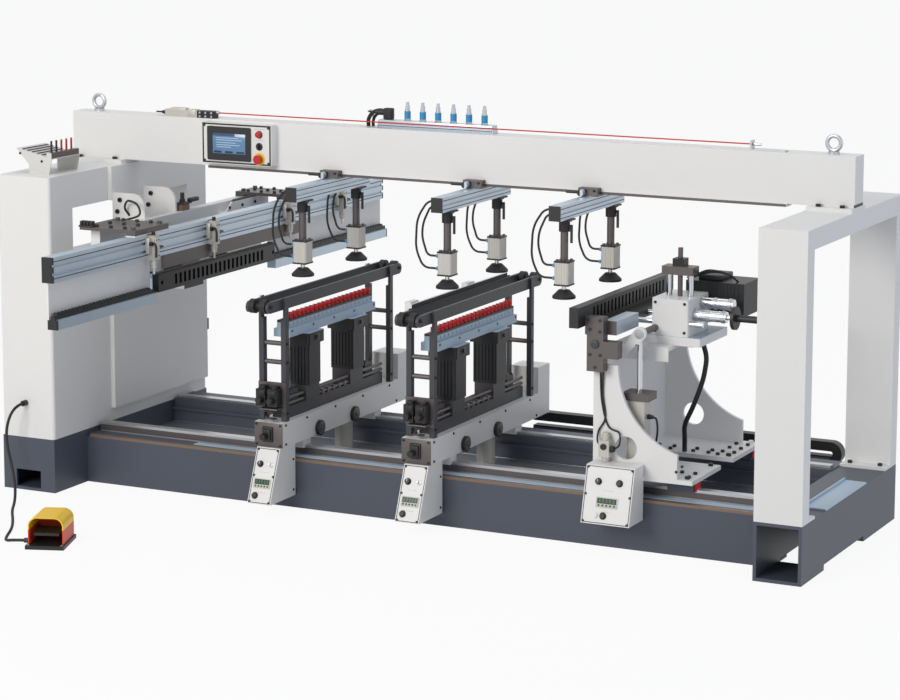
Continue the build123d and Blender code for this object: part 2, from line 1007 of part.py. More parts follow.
def make_rear_bed_beam():
    """Rear bed tube with its ledge, the pan between the beams and the chain tray."""
    tray_front = chain_front - chain_tray_wall
    tray_rear = chain_front + chain_width + chain_tray_wall
    tray_bottom = chain_lower_bottom - chain_tray_wall
    tray_left = chain_left
    arm_pitch = (chain_right - tray_left - 2 * chain_arm_inset) / (chain_arm_count - 1)
    with BuildPart() as rear_bed_beam:
        block(
            left_stand_width, right_stand_left, rear_beam_front, rear_beam_rear,
            0, rear_beam_height,
        )
        block(
            left_stand_width - tube_wall, right_stand_left + tube_wall,
            rear_beam_front + tube_wall, rear_beam_rear - tube_wall,
            tube_wall, rear_beam_height - tube_wall, Mode.SUBTRACT,
        )
        block(
            left_stand_width, right_stand_left, rear_beam_front - rear_ledge_depth,
            rear_beam_front, rear_ledge_top - rear_ledge_thickness, rear_ledge_top,
        )
        block(
            left_stand_width, right_stand_left, front_beam_rear, rear_beam_front,
            pan_top - pan_thickness, pan_top,
        )
        block(tray_left, chain_right, tray_front, tray_rear, tray_bottom, chain_lower_bottom)
        block(
            tray_left, chain_right, tray_front, tray_front + chain_tray_wall - part_gap,
            chain_lower_bottom, chain_lower_bottom + chain_tray_height,
        )
        for place in range(chain_arm_count):
            arm_left = tray_left + chain_arm_inset + place * arm_pitch
            block(
                arm_left, arm_left + chain_width, rear_beam_rear, tray_rear,
                tray_bottom - tube_wall, tray_bottom,
            )
    finish(rear_bed_beam, "rear_bed_beam")


def make_linear_rails():
    """Two guide rails, the toothed rack and the measuring tape of the bed."""
    left = left_stand_width + rail_end_gap
    right = right_stand_left - rail_end_gap
    front_y = front_beam_front + front_rail_offset
    rear_y = rear_beam_front + rear_rail_offset
    tape_y = front_beam_front + tape_offset
    with BuildPart() as linear_rails:
        block(left, right, front_y, front_y + rail_width, front_beam_height, rail_level)
        block(left, right, rear_y, rear_y + rail_width, rear_beam_height, rail_level)
        block(
            left, right, front_beam_front, front_beam_front + rack_width,
            front_beam_height - rack_thickness, front_beam_height,
        )
        block(
            tape_start, right, tape_y, tape_y + tape_width,
            front_beam_height, front_beam_height + tape_thickness,
        )
    finish(linear_rails, "linear_rails")


def make_cross_beam():
    """Hollow cross beam with the flat rail that the pressers hang from."""
    rail_front = beam_front - presser_rail_overhang
    with BuildPart() as cross_beam:
        block(
            cap_thickness, machine_length - cap_thickness, beam_front, beam_rear,
            beam_bottom, beam_top,
        )
        block(
            0, machine_length, beam_front + beam_wall, beam_rear - beam_wall,
            beam_bottom + beam_wall, beam_top - beam_wall, Mode.SUBTRACT,
        )
        block(
            presser_rail_left, presser_rail_right, rail_front, rail_front + presser_rail_width,
            beam_bottom - presser_rail_thickness, beam_bottom,
        )
    finish(cross_beam, "cross_beam")


def make_beam_fasteners():
    """Foot plates, bolts, end caps and lifting eyes of the cross beam."""
    front = beam_front - beam_foot_front_reach
    rear = beam_rear + beam_foot_rear_reach
    right_foot = machine_length - right_foot_length
    bolt_y = beam_front - beam_foot_front_reach / 2
    bolt_places = [
        (foot_bolt_inset, bolt_y),
        (left_foot_length - foot_bolt_inset, bolt_y),
        (right_foot + foot_bolt_inset, bolt_y),
        (machine_length - foot_bolt_inset, bolt_y),
    ]
    eye_y = (beam_front + beam_rear) / 2
    collar_top = beam_top + eye_collar_height
    ring_z = collar_top + eye_ring_radius + eye_wire_radius - eye_sink
    with BuildPart() as beam_fasteners:
        block(0, left_foot_length, front, rear, stand_top, beam_bottom)
        block(right_foot, machine_length, front, rear, stand_top, beam_bottom)
        bolt_heads(bolt_places, beam_bottom)
        block(0, cap_thickness, beam_front, beam_rear, beam_bottom, beam_top)
        block(
            machine_length - cap_thickness, machine_length, beam_front, beam_rear,
            beam_bottom, beam_top,
        )
        for eye_x in (eye_inset, machine_length - eye_inset):
            post(beam_top, collar_top, eye_x, eye_y, eye_collar_radius)
            with Locations(at(eye_x, eye_y, ring_z)):
                Torus(eye_ring_radius, eye_wire_radius, rotation=(90, 0, 0))
    finish(beam_fasteners, "beam_fasteners")


def make_operator_panel():
    """Panel box with its screen bezel, lamp and the seats of its two controls."""
    right = panel_left + panel_width
    bottom = beam_bottom + panel_bottom_rise
    front = beam_front - panel_depth
    bezel_left = panel_left + bezel_left_margin
    bezel_bottom = bottom + (panel_height - bezel_height) / 2
    bezel_front = front - bezel_thickness
    screen_left = bezel_left + (bezel_width - screen_width) / 2
    screen_bottom = bezel_bottom + (bezel_height - screen_height) / 2
    estop_bore = estop_stem_length + estop_travel
    with BuildPart() as operator_panel:
        face_block(
            panel_left, right, front, beam_front, bottom, bottom + panel_height, panel_corner
        )
        face_block(
            bezel_left, bezel_left + bezel_width, bezel_front, front,
            bezel_bottom, bezel_bottom + bezel_height, panel_corner,
        )
        block(
            screen_left, screen_left + screen_width, bezel_front - screen_recess,
            bezel_front + screen_recess, screen_bottom, screen_bottom + screen_height,
            Mode.SUBTRACT,
        )
        bar_y(front - lamp_length, front, control_column_x, bottom + lamp_rise, lamp_radius)
        bar_y(
            front - estop_plate_thickness, front, control_column_x,
            bottom + estop_rise, estop_plate_radius,
        )
        bar_y(
            front - estop_bore, front + estop_bore, control_column_x, bottom + estop_rise,
            estop_stem_radius + running_gap, Mode.SUBTRACT,
        )
        bar_y(
            front - selector_length, front + selector_grip_length + part_gap,
            control_column_x, bottom + selector_rise, knob_axle_radius + running_gap,
            Mode.SUBTRACT,
        )
    finish(operator_panel, "operator_panel")


def make_estop_button():
    """Mushroom push button with its stem."""
    plate_front = beam_front - panel_depth - estop_plate_thickness
    head_rear = plate_front - estop_travel - part_gap
    z = beam_bottom + panel_bottom_rise + estop_rise
    with BuildPart() as estop_button:
        bar_y(head_rear - estop_head_length, head_rear, control_column_x, z, estop_head_radius)
        bar_y(head_rear, plate_front + estop_stem_length, control_column_x, z, estop_stem_radius)
    finish(estop_button, "estop_button")


def make_selector_knob():
    """Selector knob with a raised grip bar and its axle."""
    rear = beam_front - panel_depth - part_gap
    front = rear - selector_length
    z = beam_bottom + panel_bottom_rise + selector_rise
    half_grip = selector_grip_width / 2
    half_height = selector_radius - part_gap
    with BuildPart() as selector_knob:
        bar_y(front, rear, control_column_x, z, selector_radius)
        block(
            control_column_x - half_grip, control_column_x + half_grip,
            front - selector_grip_length, front, z - half_height, z + half_height,
        )
        bar_y(rear, rear + selector_grip_length, control_column_x, z, knob_axle_radius)
    finish(selector_knob, "selector_knob")


def make_rope_switch():
    """Pull switch at one end of the beam top and the rope's guide at the other."""
    right = rope_switch_left + rope_switch_length
    wire_y = beam_front + rope_switch_depth / 2
    wire_z = beam_top + wire_rise
    hook_top = beam_top + hook_height
    with BuildPart() as rope_switch:
        block(
            rope_switch_left, right, beam_front, beam_front + rope_switch_depth,
            beam_top, beam_top + rope_switch_height,
        )
        bar_x(
            right - plunger_inside - part_gap, right + plunger_length, wire_y, wire_z,
            plunger_radius + running_gap, Mode.SUBTRACT,
        )
        block(
            hook_left, hook_left + hook_length, beam_front, beam_front + rope_switch_depth,
            beam_top, beam_top + hook_thickness,
        )
        block(
            hook_left, hook_left + hook_thickness, beam_front,
            beam_front + rope_switch_depth, beam_top, hook_top,
        )
        bar_x(
            hook_left - hook_thickness, hook_left + 2 * hook_thickness, wire_y, wire_z,
            wire_radius + part_gap, Mode.SUBTRACT,
        )
    finish(rope_switch, "rope_switch")


def make_pull_wire():
    """Switch plunger, the taut wire along the beam and the sleeve at its far end."""
    switch_right = rope_switch_left + rope_switch_length
    plunger_left = switch_right - plunger_inside
    sleeve_left = hook_left + hook_thickness + part_gap
    wire_y = beam_front + rope_switch_depth / 2
    wire_z = beam_top + wire_rise
    with BuildPart() as pull_wire:
        bar_x(plunger_left, plunger_left + plunger_length, wire_y, wire_z, plunger_radius)
        bar_x(plunger_left, sleeve_left + wire_sleeve_length, wire_y, wire_z, wire_radius)
        bar_x(
            sleeve_left, sleeve_left + wire_sleeve_length, wire_y, wire_z, wire_sleeve_radius
        )
    finish(pull_wire, "pull_wire")


def make_air_manifold():
    """Air manifold on the beam with its plug-in fittings, an elbow and a hose."""
    middle_y = (beam_front + beam_rear) / 2
    front = middle_y - manifold_depth / 2
    top = beam_top + manifold_height
    base_top = top + fitting_base_height
    collar_top = base_top + fitting_collar_height
    elbow_z = top + elbow_height - elbow_radius
    elbow_left = elbow_x - elbow_reach
    hose = [
        (elbow_left, middle_y, elbow_z),
        (elbow_left - air_hose_lead, middle_y, elbow_z),
        (elbow_left - air_hose_sweep, beam_rear + air_hose_lead, elbow_z),
        (elbow_left - air_hose_sweep, beam_rear + air_hose_lead, elbow_z - air_hose_drop),
        (elbow_left - air_hose_sweep, beam_rear, elbow_z - air_hose_drop),
    ]
    with BuildPart() as air_manifold:
        block(
            manifold_left, manifold_left + manifold_length, front, front + manifold_depth,
            beam_top, top,
        )
        for number in range(fitting_count):
            x = fitting_first_x + number * fitting_pitch
            post(top, base_top, x, middle_y, fitting_base_radius)
            post(base_top, collar_top, x, middle_y, fitting_collar_radius)
            post(collar_top, collar_top + fitting_tip_height, x, middle_y, fitting_tip_radius)
        post(top, top + elbow_height, elbow_x, middle_y, elbow_radius)
        bar_x(elbow_left, elbow_x, middle_y, elbow_z, elbow_radius)
        tube("air hose", hose, air_hose_radius)
    finish(air_manifold, "air_manifold")


def make_tool_rack():
    """Folded tool rack on the left stand with a strip that holds spare bits."""
    left_top = stand_top + rack_left_height
    peak = stand_top + rack_peak_height
    lip = stand_top + rack_lip_height
    slope = (peak - lip) / (rack_lip_x - rack_peak_x)
    outline = [
        (rack_left, stand_top),
        (rack_right, stand_top),
        (rack_lip_x, lip),
        (rack_peak_x, peak),
        (rack_left, left_top),
    ]
    rear = rack_front + rack_depth
    tray = [
        (rack_lip_x, lip),
        (rack_peak_x, peak),
        (rack_peak_x, peak - rack_plate),
        (rack_lip_x, lip - rack_plate),
    ]
    strip_right = rack_lip_x - rack_plate
    strip_left = strip_right - bit_strip_width
    strip_low = lip + slope * (rack_lip_x - strip_right)
    strip_high = lip + slope * (rack_lip_x - strip_left)
    strip_top = strip_high + bit_strip_height
    strip = [
        (strip_left, strip_high),
        (strip_right, strip_low),
        (strip_right, strip_top),
        (strip_left, strip_top),
    ]
    bit_x = (strip_left + strip_right) / 2
    with BuildPart() as tool_rack:
        plate(front_plane(rack_front + rack_plate), outline, rack_plate)
        plate(front_plane(rear), outline, rack_plate)
        plate(front_plane(rear), tray, rack_depth)
        plate(front_plane(rear - rack_plate), strip, rack_depth - 2 * rack_plate)
        for number in range(bit_count):
            bit_y = rack_front + bit_first + number * bit_pitch
            post(strip_top - bit_inside, strip_top + bit_length, bit_x, bit_y, bit_radius)
    finish(tool_rack, "tool_rack")


def make_energy_chain():
    """Cable chain lying in two runs that meet in a half round bend."""
    rear = chain_front + chain_width
    upper_top = chain_upper_bottom + chain_thickness
    lower_top = chain_lower_bottom + chain_thickness
    middle = (upper_top + chain_lower_bottom) / 2
    outer = (upper_top - chain_lower_bottom) / 2
    with BuildPart() as energy_chain:
        block(chain_left, chain_right, chain_front, rear, chain_lower_bottom, upper_top)
        bar_y(chain_front, rear, chain_right, middle, outer)
        bar_y(
            chain_front - part_gap, rear + part_gap, chain_right, middle,
            outer - chain_thickness, Mode.SUBTRACT,
        )
        block(
            chain_left - part_gap, chain_right, chain_front - part_gap, rear + part_gap,
            lower_top, chain_upper_bottom, Mode.SUBTRACT,
        )
    finish(energy_chain, "energy_chain")


def make_saddle(number, xc):
    """Head saddle: deck, sides, apron, rear box, carriages, locks and slide base."""
    left = xc - saddle_half_width
    right = xc + saddle_half_width
    plate_front = saddle_front - front_plate_thickness
    slide_top = saddle_top + slide_height
    bush_top = slide_top + bush_block_height
    front_rail_y = front_beam_front + front_rail_offset
    rear_rail_y = rear_beam_front + rear_rail_offset
    lock_z = saddle_bottom + lock_rise
    with BuildPart() as saddle:
        block(left, right, saddle_front, saddle_rear, saddle_bottom, saddle_top)
        block(
            left + saddle_side, right - saddle_side, apron_rear, saddle_rear - saddle_side,
            saddle_bottom - saddle_side, deck_bottom, Mode.SUBTRACT,
        )
        block(
            left + saddle_side, right - saddle_side, saddle_front + saddle_side, apron_rear,
            saddle_bottom + apron_thickness, deck_bottom, Mode.SUBTRACT,
        )
        block(
            left, right, plate_front, saddle_front,
            saddle_bottom + front_plate_inset, saddle_top,
        )
        block(
            left, right, saddle_rear, saddle_rear + rear_box_length,
            saddle_bottom, saddle_bottom + rear_box_height,
        )
        for rail_y in (front_rail_y, rear_rail_y):
            block(
                xc - carriage_half_width, xc + carriage_half_width,
                rail_y - carriage_margin, rail_y + rail_width + carriage_margin,
                rail_level - carriage_skirt, deck_bottom,
            )
            block(
                left, right, rail_y - part_gap, rail_y + rail_width + part_gap,
                rail_level - 2 * carriage_skirt, rail_level + part_gap, Mode.SUBTRACT,
            )
        for lock_y in (lock_front_y, lock_rear_y):
            bar_x(right, right + lock_thickness, lock_y, lock_z, lock_radius)
        post(hanging_cylinder_bottom, deck_bottom, xc, hanging_cylinder_y, hanging_cylinder_radius)
        block(
            xc - slide_half_width, xc + slide_half_width, slide_front, slide_rear,
            saddle_top, slide_top,
        )
        for motor_y in (motor_front_y, motor_rear_y):
            block(
                xc - motor_seat_half_width, xc + motor_seat_half_width, motor_y,
                motor_y + motor_depth, slide_top, motor_bottom - part_gap,
            )
        for bush_y in (front_bush_y, rear_bush_y):
            block(
                xc - bush_half_width, xc + bush_half_width, bush_y - bush_block_depth / 2,
                bush_y + bush_block_depth / 2, slide_top, bush_top,
            )
            post(
                saddle_top + guide_bottom_gap - part_gap, bush_top + part_gap, xc, bush_y,
                guide_radius + running_gap, Mode.SUBTRACT,
            )
    finish(saddle, f"head_{number}_saddle")


def slanted_plane(x, low_y, low_z, high_y, high_z):
    """Plane of a slanted control panel, with its sketch axes across and up it."""
    rise = math.hypot(high_y - low_y, high_z - low_z)
    normal = (0, (low_z - high_z) / rise, (high_y - low_y) / rise)
    return Plane(origin=at(x, low_y, low_z), x_dir=(1, 0, 0), z_dir=normal)


def disc_on(plane, across, up, radius, start, end, mode=Mode.ADD):
    """Round boss or hole square to a plane."""
    with BuildSketch(plane.offset(start)) as outline:
        with Locations((across, up)):
            Circle(radius)
    extrude(outline.sketch, amount=end - start, mode=mode)


def panel_box(plane, outline, x0, width, bezel_width, side):
    """Control box with a slanted panel, a display bezel and the seat of its knob."""
    plate(side_plane(x0), outline, width)
    with BuildSketch(plane) as bezel:
        with Locations((width / 2, control_bezel_rise)):
            Rectangle(bezel_width, control_bezel_height)
    extrude(bezel.sketch, amount=control_bezel_relief)
    disc_on(plane, width / 2 + side, knob_rise, knob_radius, 0, knob_length / 2)
    disc_on(plane, width / 2 - side, low_knob_rise, knob_radius, 0, knob_length / 2)
    disc_on(
        plane, width / 2 - side, knob_rise, knob_axle_radius + running_gap,
        -knob_axle_inside - part_gap, knob_length, Mode.SUBTRACT,
    )


def panel_knob(plane, width, side, name):
    """Round knob with the axle that turns in the panel."""
    across = width / 2 - side
    with BuildPart() as knob:
        disc_on(plane, across, knob_rise, knob_radius, part_gap, knob_length)
        disc_on(plane, across, knob_rise, knob_axle_radius, -knob_axle_inside, part_gap)
    finish(knob, name)


def make_control_box(number, xc):
    """Slanted control box under the front of a head, and its knob."""
    left = xc + control_box_shift - control_box_width / 2
    plane = slanted_plane(
        left, control_box_bottom_y, control_box_bottom, control_box_top_y, saddle_bottom
    )
    outline = [
        (control_box_bottom_y, control_box_bottom),
        (control_box_rear, control_box_bottom),
        (control_box_rear, saddle_bottom),
        (control_box_top_y, saddle_bottom),
    ]
    with BuildPart() as control_box:
        panel_box(plane, outline, left, control_box_width, control_bezel_width, knob_side)
    finish(control_box, f"head_{number}_control_box")
    panel_knob(plane, control_box_width, knob_side, f"head_{number}_knob")


def make_support_frame(number, xc, with_fence):
    """Uprights, long bars and tie bars that carry the panel over a head."""
    roller_z = support_level - roller_radius
    plate_front = front_upright_y - valve_plate_thickness
    lower_inner = upright_half_width - upright_lower_thickness
    upper_inner = upright_half_width - upright_upper_thickness
    bar_inner = upper_inner - bar_thickness
    bar_end = bar_height / 2
    front_y = front_upright_y + front_upright_depth
    rear_y = rear_upright_y + rear_upright_depth
    with BuildPart() as support_frame:
        for side in (-1, 1):
            for y0, y1 in ((front_upright_y, front_y), (rear_upright_y, rear_y)):
                lower = sorted((xc + side * lower_inner, xc + side * upright_half_width))
                upper = sorted((xc + side * upper_inner, xc + side * upright_half_width))
                block(*lower, y0, y1, saddle_top, notch_level)
                block(*upper, y0, y1, notch_level, upright_top)
            bar_span = sorted((xc + side * bar_inner, xc + side * upper_inner))
            side_block(
                *bar_span, roller_front_y - bar_end, roller_rear_y + bar_end,
                bar_bottom, bar_bottom + bar_height, bar_end - bar_end_flat,
            )
        for y, upper_z, lower_z in (
            ((front_upright_y + front_y) / 2, front_tie_upper, front_tie_lower),
            ((rear_upright_y + rear_y) / 2, rear_tie_upper, rear_tie_lower),
        ):
            for z in (upper_z, lower_z):
                bar_x(xc - lower_inner, xc + lower_inner, y, z, tie_bar_radius)
        for roller_y in (roller_front_y, roller_rear_y):
            bar_x(
                xc - upright_half_width, xc + upright_half_width, roller_y, roller_z,
                roller_shaft_radius + running_gap, Mode.SUBTRACT,
            )
        block(
            xc - upright_half_width, xc + upright_half_width, plate_front, front_upright_y,
            valve_plate_bottom, valve_plate_top,
        )
        for side in (-1, 1):
            valve_x = xc + side * valve_side
            block(
                valve_x - valve_body_width / 2, valve_x + valve_body_width / 2,
                plate_front - valve_body_depth, plate_front,
                valve_bottom, valve_bottom + valve_height,
            )
            post(
                valve_bottom + valve_height, valve_bottom + valve_height + valve_dome_height,
                valve_x, plate_front - valve_body_depth / 2, valve_dome_radius,
            )
        if with_fence:
            add_side_fence(xc - upper_inner, front_y, rear_upright_y)
    finish(support_frame, f"head_{number}_support_frame")


def add_side_fence(bar_face, front, rear):
    """Low fence strip along the left bar, with an ear at its front and one further back."""
    left = bar_face - fence_strip_thickness
    ear_top = fence_strip_top + fence_ear_rise
    block(left, bar_face, front, rear, fence_strip_bottom, fence_strip_top)
    ear_fronts = (front + fence_ear_front_inset, rear - fence_ear_rear_inset)
    for ear_front in ear_fronts:
        block(
            left - fence_ear_width, left, ear_front, ear_front + fence_ear_length,
            fence_strip_bottom, ear_top,
        )


def make_rollers(number, xc, roller_y, place):
    """Pair of panel rollers on one shaft that turns in the bars' ends."""
    z = support_level - roller_radius
    half = roller_width / 2
    shaft_end = upright_half_width - upright_upper_thickness
    with BuildPart() as rollers:
        bar_x(xc - shaft_end, xc + shaft_end, roller_y, z, roller_shaft_radius)
        bar_x(xc - roller_centre, xc + roller_centre, roller_y, z, roller_hub_radius)
        for centre in (xc - roller_centre, xc + roller_centre):
            bar_x(centre - half, centre + half, roller_y, z, roller_radius)
    finish(rollers, f"head_{number}_{place}_rollers")


def make_drill_block(number, xc):
    """Gear housing with its two motors and the guide rods that it rises on."""
    guide_bottom = saddle_top + guide_bottom_gap
    flange_half = motor_half_width + motor_flange_margin
    fin_step = 2 * motor_half_width / (motor_fin_count + 1)
    with BuildPart() as drill_block:
        block(
            xc - gear_lower_half_width, xc + gear_lower_half_width, gear_front, gear_rear,
            gear_bottom, gear_step,
        )
        block(
            xc - gear_upper_half_width, xc + gear_upper_half_width, gear_front, gear_rear,
            gear_step, gear_top,
        )
        for motor_y in (motor_front_y, motor_rear_y):
            motor_rear = motor_y + motor_depth
            rounded_block(
                xc - motor_half_width, xc + motor_half_width, motor_y, motor_rear,
                motor_bottom, motor_flange_bottom, motor_corner,
            )
            for fin in range(motor_fin_count):
                groove_x = xc - motor_half_width + (fin + 1) * fin_step
                for face_y in (motor_y, motor_rear):
                    block(
                        groove_x - motor_fin_width / 2, groove_x + motor_fin_width / 2,
                        face_y - motor_fin_depth, face_y + motor_fin_depth,
                        motor_bottom + motor_corner, motor_flange_bottom - motor_corner,
                        Mode.SUBTRACT,
                    )
            rounded_block(
                xc - flange_half, xc + flange_half, motor_y - motor_flange_margin,
                motor_rear + motor_flange_margin, motor_flange_bottom, gear_bottom, motor_corner,
            )
        for bush_y in (front_bush_y, rear_bush_y):
            post(guide_bottom, gear_bottom, xc, bush_y, guide_radius)
    finish(drill_block, f"head_{number}_drill_block")


def make_chucks(number, xc):
    """Row of drill chucks, each with the bore that takes a drill's shank."""
    x = xc + chuck_shift
    top = gear_top + chuck_height
    with BuildPart() as chucks:
        for place in range(spindle_count):
            y = spindle_first_y + place * hole_pitch
            post(gear_top, top, x, y, chuck_radius)
            post(top - shank_depth, top + shank_depth, x, y, shank_radius, Mode.SUBTRACT)
    finish(chucks, f"head_{number}_chucks")


def make_head(number, xc, with_fence):
    """All sub-parts of one drilling head."""
    make_saddle(number, xc)
    make_control_box(number, xc)
    make_support_frame(number, xc, with_fence)
    make_rollers(number, xc, roller_front_y, "front")
    make_rollers(number, xc, roller_rear_y, "rear")
    make_drill_block(number, xc)
    make_chucks(number, xc)


def make_presser_arm(number, xc):
    """Presser arm profile with its clamp that hooks over the beam's rail."""
    left = xc - arm_width / 2
    right = xc + arm_width / 2
    bottom = arm_top - arm_height
    rail_front = beam_front - presser_rail_overhang
    rail_rear = rail_front + presser_rail_width
    jaw_bottom = beam_bottom + part_gap
    jaw_top = jaw_bottom + clamp_jaw_height
    clamp_left = xc - clamp_half_width
    clamp_right = xc + clamp_half_width
    knob_x = xc - clamp_knob_shift
    knob_z = (arm_top + jaw_top) / 2
    slot_z = (arm_top + bottom) / 2
    with BuildPart() as arm:
        block(left, right, arm_front + arm_cap_thickness, arm_rear, bottom, arm_top)
        for face_x in (left, right):
            block(
                face_x - arm_slot_depth, face_x + arm_slot_depth, arm_front, arm_rear + arm_slot,
                slot_z - arm_slot / 2, slot_z + arm_slot / 2, Mode.SUBTRACT,
            )
        block(left, right, arm_front, arm_front + arm_cap_thickness, bottom, arm_top)
        block(
            clamp_left, clamp_right, clamp_front, clamp_rear,
            arm_top, beam_bottom - presser_rail_thickness - part_gap,
        )
        block(clamp_left, clamp_right, clamp_front, rail_front - part_gap, arm_top, jaw_top)
        block(clamp_left, clamp_right, clamp_front, beam_front - part_gap, jaw_bottom, jaw_top)
        block(
            clamp_left, clamp_right, rail_rear + part_gap, clamp_rear,
            arm_top, beam_bottom - part_gap,
        )
        bar_y(clamp_front - clamp_knob_length, clamp_front, knob_x, knob_z, clamp_knob_radius)
        bar_x(
            knob_x - clamp_lever_length, knob_x, clamp_front - clamp_knob_length / 2,
            knob_z, clamp_lever_radius,
        )
    finish(arm, f"presser_{number}_arm")


def make_presser_cylinders(number, xc):
    """Two columns under an arm, each with its air cylinder, fittings and lever."""
    arm_bottom = arm_top - arm_height
    flange_bottom = arm_bottom - column_flange_thickness
    cylinder_top = flange_bottom - column_length
    cylinder_bottom = cylinder_top - press_cylinder_height
    half = press_cylinder_width / 2
    bore_top = cylinder_bottom + press_rod_inside + part_gap
    collar_radius = column_radius + press_top_plate
    lever_x = xc + half
    inset = half * press_bolt_share
    with BuildPart() as cylinders:
        for y in (column_a_y, column_b_y):
            block(
                xc - column_flange_width / 2, xc + column_flange_width / 2,
                y - column_flange_width / 2, y + column_flange_width / 2,
                flange_bottom, arm_bottom,
            )
            post(cylinder_top, flange_bottom, xc, y, column_radius)
            post(flange_bottom - 2 * collar_radius, flange_bottom, xc, y, collar_radius)
            rounded_block(
                xc - half, xc + half, y - half, y + half, cylinder_bottom,
                cylinder_top, press_cylinder_corner,
            )
            bolt_heads(
                [(xc + a * inset, y + b * inset) for a in (-1, 1) for b in (-1, 1)],
                cylinder_top, small_bolt_radius, small_bolt_height,
            )
            post(
                cylinder_bottom - part_gap, bore_top, xc, y,
                press_rod_radius + running_gap, Mode.SUBTRACT,
            )
            bar_x(xc, lever_x, y, flange_bottom - collar_radius, clamp_lever_radius)
            post(
                flange_bottom - collar_radius - clamp_lever_length,
                flange_bottom - collar_radius + clamp_lever_radius,
                lever_x, y, clamp_lever_radius,
            )
            for z in (
                cylinder_top - press_upper_fitting_drop,
                cylinder_bottom + press_lower_fitting_rise,
            ):
                bar_x(xc - half - press_fitting_length, xc - half, y, z, press_fitting_radius)
    finish(cylinders, f"presser_{number}_cylinders")


def make_presser_hoses(number, xc):
    """Air hoses bowed out from each cylinder's fittings up to the arm's side."""
    half = press_cylinder_width / 2
    arm_bottom = arm_top - arm_height
    cylinder_top = arm_bottom - column_flange_thickness - column_length
    cylinder_bottom = cylinder_top - press_cylinder_height
    start = xc - half - press_fitting_length
    end = xc - arm_width / 2
    runs = (
        (cylinder_top - press_upper_fitting_drop, press_inner_reach, press_inner_entry),
        (cylinder_bottom + press_lower_fitting_rise, press_outer_reach, press_outer_entry),
    )
    with BuildPart() as hoses:
        for y in (column_a_y, column_b_y):
            for low_z, reach, entry in runs:
                end_z = arm_bottom + entry
                points = [
                    (start, y, low_z),
                    (start - press_hose_start_share * reach, y, low_z),
                    (start - reach, y, low_z + press_hose_rise),
                    (start - press_hose_top_share * reach, y, end_z - press_hose_rise),
                    (start - press_hose_end_share * reach, y, end_z),
                    (end, y, end_z),
                ]
                tube(f"presser {number} hose", points, press_hose_radius)
    finish(hoses, f"presser_{number}_hoses")


def make_presser_feet(number, xc):
    """Two pressing feet, each a soft foot on its piston rod."""
    cylinder_bottom = (
        arm_top - arm_height - column_flange_thickness - column_length - press_cylinder_height
    )
    foot_top = cylinder_bottom - press_rod_free
    rim_top = foot_top - press_foot_height + press_foot_rim
    with BuildPart() as feet:
        for y in (column_a_y, column_b_y):
            post(foot_top - press_foot_height, rim_top, xc, y, press_foot_radius)
            with Locations(at(xc, y, (rim_top + foot_top) / 2)):
                Cone(press_foot_radius, press_foot_neck_radius, foot_top - rim_top)
            post(foot_top, cylinder_bottom + press_rod_inside, xc, y, press_rod_radius)
    finish(feet, f"presser_{number}_feet")


def make_presser(number, xc):
    """All sub-parts of one presser."""
    make_presser_arm(number, xc)
    make_presser_cylinders(number, xc)
    make_presser_hoses(number, xc)
    make_presser_feet(number, xc)


